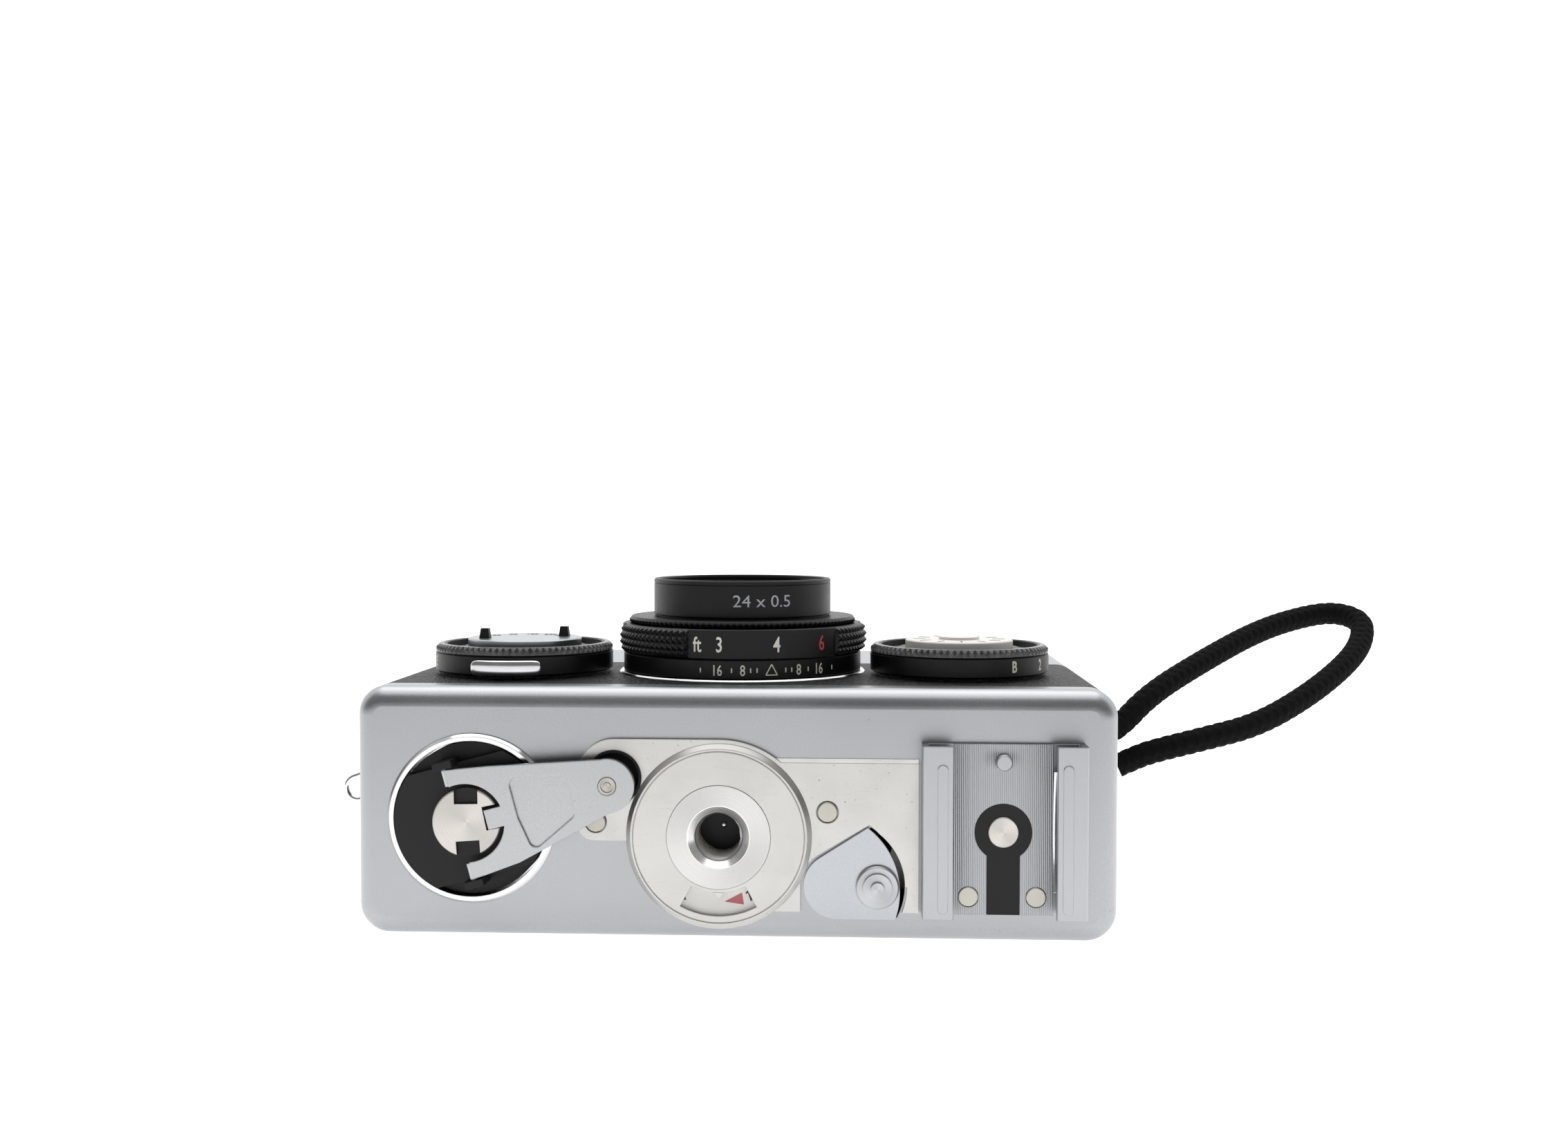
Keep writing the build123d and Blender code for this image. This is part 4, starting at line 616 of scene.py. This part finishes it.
studio = {"floor": 3.0, "overhead": 7.0, "white": 0.6, "glow": 1.08, "farGlow": 0.72, "near": 0.05,
          "far": 0.30, "behind": 1.2, "ahead": 0.2, "above": 0.7}


def addStage(studio):
    # a wide pale floor; the world behind it is as bright, so the two run together
    f = finish("paleFloor")
    plain = f.noise(3, 1)
    white = studio["white"]
    even = f.mix(plain, tone(white, white, white), tone(white, white, white * 0.99))
    x, y, z = f.apart(f.place)
    away = (x * x + y * y) ** 0.5
    share = (away - studio["near"]) / (studio["far"] - studio["near"])
    glow = f.ramp(share, (0.0, 1.0), (1.0, studio["farGlow"]))
    mat = f.shade(Base_Color=even, Roughness=0.9, Specular_IOR_Level=0.05, Emission_Color=glow,
                  Emission_Strength=studio["glow"])
    far = studio["floor"]
    spots = [(-far, -far, 0), (far, -far, 0), (far, far, 0), (-far, far, 0)]
    mesh = bpy.data.meshes.new("floor")
    mesh.from_pydata([(x, y, -0.00004) for x, y, z in spots], [], [(0, 1, 2, 3)])
    mesh.materials.append(mat)
    floor = bpy.data.objects.new("floor", mesh)
    bpy.context.scene.collection.objects.link(floor)


def addLight(name, spot, aim, width, power, tint=(1, 1, 1)):
    data = bpy.data.lights.new(name, "AREA")
    data.shape, data.size, data.energy, data.color = "SQUARE", width, power, tint
    lamp = bpy.data.objects.new(name, data)
    lamp.location = spot
    toward = Matrix.Translation(aim).translation - lamp.location
    lamp.rotation_euler = toward.to_track_quat("-Z", "Y").to_euler()
    bpy.context.scene.collection.objects.link(lamp)


def lightStudio(studio):
    world = bpy.data.worlds.new("studio")
    bpy.context.scene.world = world
    f = finish("studio", world)
    x, y, z = f.apart(f.add("ShaderNodeTexCoord", out="Generated"))
    back = f.ramp(y * 0.5 + 0.5, (0.0, studio["ahead"]), (0.42, studio["ahead"]), (0.62, 1.0), (1.0, 1.0))
    crown = f.ramp(z, (0.0, 0.0), (0.35, 0.0), (0.8, studio["above"]), (1.0, studio["above"]))
    glow = f.add("ShaderNodeBackground", {}, {"Color": back, "Strength": crown * 0.4 + studio["behind"]})
    f.add("ShaderNodeOutputWorld", {}, {"Surface": glow})
    addLight("overhead", (0.0, 0.1, 1.1), (0, 0.0, 0), 1.3, studio["overhead"])
    scene = bpy.context.scene
    scene.view_settings.view_transform = "Standard"
    scene.view_settings.look = "None"


addStage(studio)
lightStudio(studio)
print("stage and light set")


# flat marks: digits, ticks and triangles
class layout:
    # flat shapes in x and y, in mm, kept as one set of points and triangles

    def __init__(self):
        self.points, self.faces, self.count = [], [], 0

    def put(self, points, faces):
        self.points.append(points)
        self.faces.append(np.asarray(faces) + self.count)
        self.count += len(points)

    def word(self, text, x, y, height, stretch=0.78, weight=0.02):
        curve = bpy.data.curves.new("digits", "FONT")
        curve.body, curve.align_x, curve.align_y = text, "CENTER", "CENTER"
        curve.offset, curve.resolution_u = weight, 3
        holder = bpy.data.objects.new("digits", curve)
        bpy.context.scene.collection.objects.link(holder)
        dg = bpy.context.evaluated_depsgraph_get()
        mesh = bpy.data.meshes.new_from_object(holder.evaluated_get(dg))
        mesh.calc_loop_triangles()
        spots = np.zeros(len(mesh.vertices) * 3)
        mesh.vertices.foreach_get("co", spots)
        tris = np.zeros(len(mesh.loop_triangles) * 3, int)
        mesh.loop_triangles.foreach_get("vertices", tris)
        spots = spots.reshape(-1, 3)[:, :2]
        spots -= (spots.max(0) + spots.min(0)) / 2
        size = height / np.ptp(spots[:, 1])
        self.put(spots * (size * stretch, size) + (x, y), tris.reshape(-1, 3))
        bpy.data.objects.remove(holder)
        bpy.data.meshes.remove(mesh)

    def bar(self, start, end, width):
        start, end = np.asarray(start, float), np.asarray(end, float)
        way = (end - start) / np.linalg.norm(end - start)
        off = np.array([-way[1], way[0]]) * width / 2
        self.put(np.array([start - off, end - off, end + off, start + off]), [(0, 1, 2), (0, 2, 3)])

    def outline(self, corners, width):
        for a, b in zip(corners, corners[1:] + corners[:1]):
            self.bar(a, b, width)

    def shape(self, corners):
        self.put(np.asarray(corners, float), [(0, k, k + 1) for k in range(1, len(corners) - 1)])

    def lay(self, name, place, kind, body, thick=0.03):
        # gives the shapes a thickness: place(x, y, out) is the point that far out from the face
        flat = np.concatenate(self.points)
        tris = np.concatenate(self.faces)
        a, b, c = (flat[tris[:, k]] for k in range(3))
        turned = np.cross(b - a, c - a) < 0
        tris[turned] = tris[turned][:, ::-1]
        count = len(flat)
        sides = np.concatenate([tris[:, [0, 1]], tris[:, [1, 2]], tris[:, [2, 0]]])
        forward = sides[:, 0] * count + sides[:, 1]
        backward = sides[:, 1] * count + sides[:, 0]
        rim = sides[~np.isin(forward, backward)]
        walls = np.concatenate([np.c_[rim[:, 0] + count, rim[:, 1] + count, rim[:, 1]],
                                np.c_[rim[:, 0] + count, rim[:, 1], rim[:, 0]]])
        points = np.concatenate([place(flat[:, 0], flat[:, 1], thick), place(flat[:, 0], flat[:, 1], -0.01)])
        faces = np.concatenate([tris, tris[:, ::-1] + count, walls])
        return putMesh(name, points, faces, kind, body, keen=20)


def roundRing(centre, radius, facing=-90.0):
    # wraps x round a ring about Z, from the facing direction, with y as height
    def place(x, y, out):
        angle = math.radians(facing) + x / radius
        reach = radius + out
        return np.stack([centre[0] + reach * np.cos(angle), centre[1] + reach * np.sin(angle), y + 0 * x], -1)
    return place


def onBase(level):
    # lays x and y on the base, as X and Z, standing out from a level in Y
    def place(x, y, out):
        return np.stack([x, level - out + 0 * x, y], -1)
    return place


# lens rings
focus = {"flat": 16.85, "grip": 17.3, "bore": 14.4, "rows": 4, "pitch": 0.92, "cut": 0.42,
         "bands": ((-38.0, 8.0), (82.0, 144.0), (196.0, 249.0)), "steps": 1440}


def focusShape(focus, lowZ, highZ):
    # radius of the focus ring: flat between the grips, and on a grip V beads cut across by V notches
    def shape(angle, radius, height):
        share = (height - lowZ) / (highZ - lowZ)
        degrees = (np.degrees(angle) + 180) % 360 - 180
        inBand = np.zeros_like(degrees)
        for first, last in focus["bands"]:
            middleOf, half = (first + last) / 2, (last - first) / 2
            apart = (degrees - middleOf + 180) % 360 - 180
            inBand = np.maximum(inBand, np.clip((half - np.abs(apart)) / 0.6, 0, 1))
        bead = wave(share * focus["rows"] * 0.98 + 0.01)
        notch = wave(angle * focus["flat"] / focus["pitch"])
        crown = np.sin(np.clip(share, 0, 1) * math.pi) ** 0.35
        raised = (focus["grip"] - focus["flat"]) + 0.30
        rise = inBand * (raised * crown - focus["cut"] * (1 - np.minimum(bead, notch) ** 0.9))
        outer = radius > focus["flat"] - 0.5
        return np.where(outer, radius + np.maximum(rise, -0.25), radius)
    return shape


def addFocusRing(focus):
    lowZ, highZ = low("focus_ring")[2], high("focus_ring")[2]
    flat, bore = focus["flat"], focus["bore"]
    edge = 0.12
    profile = closedPath(((bore, lowZ), 3), ((flat - edge, lowZ), 1), ((flat, lowZ + edge), 44),
                         ((flat, highZ - edge), 1), ((flat - edge, highZ), 3), ((bore, highZ), 4))
    points, faces = lathe(profile, focus["steps"], lensMid, focusShape(focus, lowZ + edge, highZ - edge))
    putMesh("focusRing", points, faces, "ringBlack", "focus", ["focus_ring"], keen=28)


addFocusRing(focus)

knurl = {"count": 120, "depth": 0.42, "outer": 15.9, "bore": 11.3}


def addFrontRing(knurl):
    # thin ring: notches open at its lower edge and run out towards its bevelled top
    lowZ, highZ = low("front_ring")[2], high("front_ring")[2]
    tall = highZ - lowZ
    outer, bore = knurl["outer"], knurl["bore"]

    def shape(angle, radius, height):
        notch = wave(angle * knurl["count"] / tau)
        deep = np.clip((highZ - 0.32 - height) / (tall * 0.35), 0, 1)
        return np.where(radius > outer - 0.9, radius - knurl["depth"] * deep * (1 - notch) ** 0.7, radius)

    profile = closedPath(((bore, lowZ), 3), ((outer - 0.25, lowZ), 3), ((outer, lowZ + 0.3), 6),
                         ((outer, highZ - 0.4), 3), ((outer - 0.35, highZ), 4), ((bore, highZ), 4))
    points, faces = lathe(profile, knurl["count"] * 8, lensMid, shape)
    putMesh("frontRing", points, faces, "ringBlack", "focus", ["front_ring"], keen=28)


addFrontRing(knurl)

filterRim = {"outer": 12.45, "thread": 11.75, "seat": 11.35, "bore": 10.9, "deep": 1.6,
             "pitch": 0.5, "cut": 0.16}


def addFilterRing(rim):
    # filter ring: a fine collar at its foot, a plain side, a rolled rim and a screw thread inside
    lowZ, highZ = low("filter_ring")[2], high("filter_ring")[2]
    outer, thread = rim["outer"], rim["thread"]
    seatZ = low("filter_glass")[2]

    def shape(angle, radius, height):
        inside = (np.abs(radius - thread) < 0.02) & (height > highZ - rim["deep"] + 0.05)
        turn = wave((height - seatZ) / rim["pitch"] - angle / tau)
        return np.where(inside, radius + rim["cut"] * (turn - 1) * 0.5, radius)

    profile = closedPath(((rim["bore"], lowZ), 2), ((outer - 0.35, lowZ), 1),
                         ((outer - 0.35, lowZ + 0.16), 1), ((outer - 0.08, lowZ + 0.22), 1),
                         ((outer, lowZ + 0.32), 6),
                         ((outer, highZ - 0.75), 1), ((outer - 0.07, highZ - 0.68), 1),
                         ((outer, highZ - 0.60), 2), ((outer, highZ - 0.22), 2), ((outer - 0.2, highZ), 2),
                         ((thread + 0.14, highZ), 1), ((thread, highZ - 0.15), 20),
                         ((thread, highZ - rim["deep"]), 2), ((rim["seat"], highZ - rim["deep"]), 2),
                         ((rim["seat"], seatZ), 1), ((rim["bore"], seatZ), 3))
    points, faces = lathe(profile, 288, lensMid, shape)
    putMesh("filterRing", points, faces, "ringBlack", "focus", ["filter_ring"], keen=28)


addFilterRing(filterRim)

scale = {"depthHeight": 1.45, "focusHeight": 2.05, "index": 5.05}


def depthMarks(scale):
    # depth-of-field scale: the index triangle, then 8, 16 and ticks to each side at even stops
    marks = layout()
    mid = (low("depth_ring")[2] + high("depth_ring")[2]) / 2 - 0.1
    index, tall = scale["index"], scale["depthHeight"]
    marks.outline([(index - 0.78, mid - 0.62), (index + 0.78, mid - 0.62), (index, mid + 0.78)], 0.15)
    for side in (-1, 1):
        for step in (1.95, 2.8, 5.3, 9.5):
            marks.bar((index + side * step, mid - 0.3), (index + side * step, mid + 0.3), 0.17)
        for step, text in ((3.85, "8"), (7.15, "16")):
            marks.word(text, index + side * step, mid, tall, 0.74, 0.012)
    marks.lay("depthMarks", roundRing(lensMid, 16.7), "white", "head")


def focusMarks(scale):
    # distance numbers on the flats of the focus ring
    mid = (low("focus_ring")[2] + high("focus_ring")[2]) / 2
    tall = scale["focusHeight"]
    marks = layout()
    for text, x in (("ft", -4.9), ("3", -1.9), ("4", 5.75), ("10", 19.5), ("20", 23.0)):
        marks.word(text, x, mid, tall, 0.7, 0.012)
    marks.lay("focusMarks", roundRing(lensMid, focus["flat"]), "white", "focus")
    warm = layout()
    warm.word("6", 12.6, mid, tall, 0.7, 0.012)
    warm.lay("focusWarmMark", roundRing(lensMid, focus["flat"]), "red", "focus")


def filterMarks():
    # thread size on the filter's side, in plain capitals and digits
    mid = (low("filter_ring")[2] + high("filter_ring")[2]) / 2 - 0.1
    marks = layout()
    marks.word("24 x 0.5", 3.6, mid, 1.6, 1.1, 0.0)
    marks.lay("filterMarks", roundRing(lensMid, filterRim["outer"]), "greyInk", "focus")


depthMarks(scale)
focusMarks(scale)
filterMarks()
print("lens rings done")


# front dials
def addDial(dial, node, body, name, kind):
    # dial: plain skirt with a fine step, a crown of V teeth, a sunk ring and a seat for the middle disc
    mid = middle(node)
    baseZ = high("front_leather")[2] + dial["lift"]
    topZ = high(node)[2]
    r = dial["radius"]
    toothZ = topZ - dial["toothTall"]

    def shape(angle, radius, height):
        # lozenges: the upper row of teeth falls between the lower row's
        tooth = wave(angle * dial["teeth"] / tau)
        rise = np.clip((height - toothZ) / dial["toothTall"], 0, 1)
        lower = np.clip(1 - rise * 2, 0, 1)
        upper = np.clip(rise * 2 - 1, 0, 1)
        cut = np.where(rise < 0.5, np.maximum(tooth - lower, 0), np.maximum(tooth, upper * 0.9))
        return np.where((radius > dial["grooveOut"] + 0.9) & (height > toothZ - 0.01),
                        radius - dial["toothDeep"] * cut, radius)

    inner, outer = dial["grooveIn"], dial["grooveOut"]
    grooveZ, seatZ, bore = topZ - dial["grooveDeep"], topZ - dial["seat"], dial["bore"]
    profile = closedPath(((bore, baseZ), 6), ((r - 0.35, baseZ), 2), ((r, baseZ + 0.25), 6),
                         ((r, toothZ - 0.26), 1), ((r - 0.14, toothZ - 0.18), 1), ((r - 0.04, toothZ), 14),
                         ((r - 0.05, topZ), 2), ((outer + 0.15, topZ), 1), ((outer, topZ - 0.12), 2),
                         ((outer - 0.05, grooveZ), 5), ((inner, grooveZ), 2), ((inner, seatZ), 6),
                         ((bore, seatZ), 4))
    points, faces = lathe(profile, dial["teeth"] * 12, mid, shape)
    putMesh(name, points, faces, kind, body, [node], keen=24)
    return mid, baseZ


def dialMarks(mid, baseZ, items, name, body):
    # numbers round a dial's skirt, each at its angle from the side that faces the base
    marks = layout()
    for text, angle in items:
        marks.word(text, math.radians(angle) * dial["radius"], baseZ + 1.5, 1.55, 0.72, 0.03)
    marks.lay(name, roundRing(mid, dial["radius"]), "white", body)


apertures = "3.5 4 5.6 8 11 16 22".split()
speeds = "B 2 4 8 15 30 60 125 250 500".split()
apertureMid, dialZ = addDial(dial, "aperture_dial", "aperture", "apertureDial", "apertureBlack")
dialMarks(apertureMid, dialZ, [(text, -66 - 24 * k) for k, text in enumerate(apertures)], "apertureMarks",
          "aperture")
shutterMid, dialZ = addDial(dial, "shutter_dial", "shutter_speed", "shutterDial", "shutterBlack")
dialMarks(shutterMid, dialZ, [(text, 33 + 25 * k) for k, text in enumerate(speeds)], "shutterMarks",
          "shutter_speed")

lockTab = {"half": 4.85, "tall": 2.1, "deep": 1.0, "gap": 0.25, "lift": 0.15, "endPower": 14,
           "endRound": 0.35, "endWidth": 0.001, "outRound": 0.75, "upRound": 0.55, "settle": 0.10}


def addLockTab(tab):
    # convex bar round the dial's skirt: a loop of (out, height), both rounded powers of cosine and sine,
    # is carried from end to end and shrinks to almost nothing at each end by a high power, so its corners
    # are round; the two ends stay open
    lowZ = high("front_leather")[2] + dial["lift"] + tab["lift"]
    inner = dial["radius"] + tab["gap"]
    share = np.sin(np.linspace(-math.pi / 2, math.pi / 2, 61))[:, None]
    turn = np.linspace(0, tau, 48, endpoint=False)[None]
    width = (1 - np.abs(share) ** tab["endPower"]) ** tab["endRound"] + tab["endWidth"]
    around, up = np.cos(turn), np.sin(turn)
    bulge = 0.5 + 0.5 * np.sign(around) * np.abs(around) ** tab["outRound"]
    settle = 1 - tab["settle"] * (1 - width)
    rise = np.sign(up) * np.abs(up) ** tab["upRound"] * settle
    radius = inner + tab["deep"] * (0.5 + (bulge - 0.5) * width)
    height = lowZ + tab["tall"] / 2 * (1 + rise * width)
    angle = share * math.asin(tab["half"] / (inner + tab["deep"]))
    spot = np.stack([apertureMid[0] + radius * np.sin(angle), apertureMid[1] - radius * np.cos(angle),
                     height + 0 * radius], -1)
    count, loop = spot.shape[:2]
    faces = gridFaces(count, loop, False, True)
    putMesh("lockTab", spot.reshape(-1, 3), faces, "tab", "aperture_lock", ["lock_tab"], keen=40)


addLockTab(lockTab)


def discMarks():
    # film speeds round the left disc; a tick ring on the right disc
    speeds = layout()
    mid, top = middle("speed_disc"), high("speed_disc")[2]
    for k, text in enumerate("25 50 100 200 400".split()):
        angle = math.radians(150 - 30 * k)
        speeds.word(text, mid[0] + 5.4 * math.cos(angle), mid[1] + 5.4 * math.sin(angle), 1.1, 0.8, 0.02)
    speeds.lay("speedMarks", lambda x, y, out: np.stack([x, y, top + out + 0 * x], -1), "dark", "film_speed")
    ticks = layout()
    mid, top = middle("type_disc"), high("type_disc")[2] - 0.35
    for k in range(12):
        angle = tau * k / 12
        ray = np.array([math.cos(angle), math.sin(angle)])
        ticks.bar(mid[:2] + ray * 4.6, mid[:2] + ray * 6.3, 0.22)
    ticks.lay("typeMarks", lambda x, y, out: np.stack([x, y, top + out + 0 * x], -1), "dark", "film_type")


discMarks()
print("dials done")


# base: bush thread and counter marks
bush = {"radius": 3.17, "pitch": 1.27, "crest": 0.55, "turns": 4.1, "mouth": 0.8, "rows": 60, "fade": 0.6}


def addThread(bush):
    # inner screw of the tripod bush: the radius is less by a V that climbs one pitch a turn
    top = low("tripod_bush")[1] + bush["mouth"]
    deep = top + bush["pitch"] * bush["turns"]
    rows = bush["rows"]
    inner = [(bush["radius"], top + (deep - top) * k / rows) for k in range(rows + 1)]
    outer = [(bush["radius"] + 0.004, deep), (bush["radius"] + 0.004, top)]

    def shape(angle, radius, height):
        cut = wave((height - top) / bush["pitch"] + angle / tau)
        fade = np.clip((height - top) / bush["fade"], 0, 1)
        return np.where(radius < bush["radius"] + 0.002, radius - bush["crest"] * cut * fade, radius)

    points, faces = lathe(inner + outer, 96, bossMid, shape, axis="y")
    putMesh("bushThread", points, faces, "nickel", "back", keen=50)


def addBoreFloor():
    # blind end of the tripod bush: a dark disc with a small bright rivet in its middle
    y = high("tripod_bush")[1] - 0.35
    disc = [(0.02, y + 0.3), (3.1, y + 0.3), (3.1, y), (0.02, y)]
    points, faces = lathe(disc[::-1], 48, bossMid, axis="y")
    putMesh("boreFloor", points, faces, "matt", "back")
    bend = np.linspace(0, math.pi / 2, 8)
    dome = [(0.42 * math.cos(b) + 0.005, y - 0.30 * math.sin(b)) for b in bend]
    points, faces = lathe([(0.005, y), *[(r, h) for r, h in dome]], 32, bossMid + (0.25, 0, 0.55), axis="y")
    putMesh("boreRivet", points, faces, "chrome", "back")


def counterMarks():
    # frame counter: a red index triangle and the digit 1 on the ring, and a pointer cut in the window's edge
    top = low("counter_disc")[1]
    x0, z0 = bossMid[0], bossMid[2]
    red = layout()
    red.shape([(x0 + 0.75, z0 - 8.25), (x0 + 2.95, z0 - 7.1), (x0 + 3.2, z0 - 8.6)])
    red.lay("counterIndex", onBase(top), "paleRed", "counter")
    digit = layout()
    digit.bar((x0 + 3.75, z0 - 6.85), (x0 + 4.15, z0 - 8.1), 0.24)
    digit.bar((x0 + 3.75, z0 - 6.85), (x0 + 3.45, z0 - 7.2), 0.2)
    digit.bar((x0 - 4.45, z0 - 7.1), (x0 - 4.25, z0 - 8.1), 0.24)
    digit.lay("counterDigits", onBase(top), "dark", "counter")
    pointer = layout()
    pointer.shape([(x0 - 0.75, z0 - 6.95), (x0 + 0.05, z0 - 7.85), (x0 + 0.85, z0 - 6.95)])
    pointer.lay("counterPointer", onBase(bossTop), "nickel", "back", 0.02)


addThread(bush)
addBoreFloor()
counterMarks()
print("base marks done")

print("scene ready")
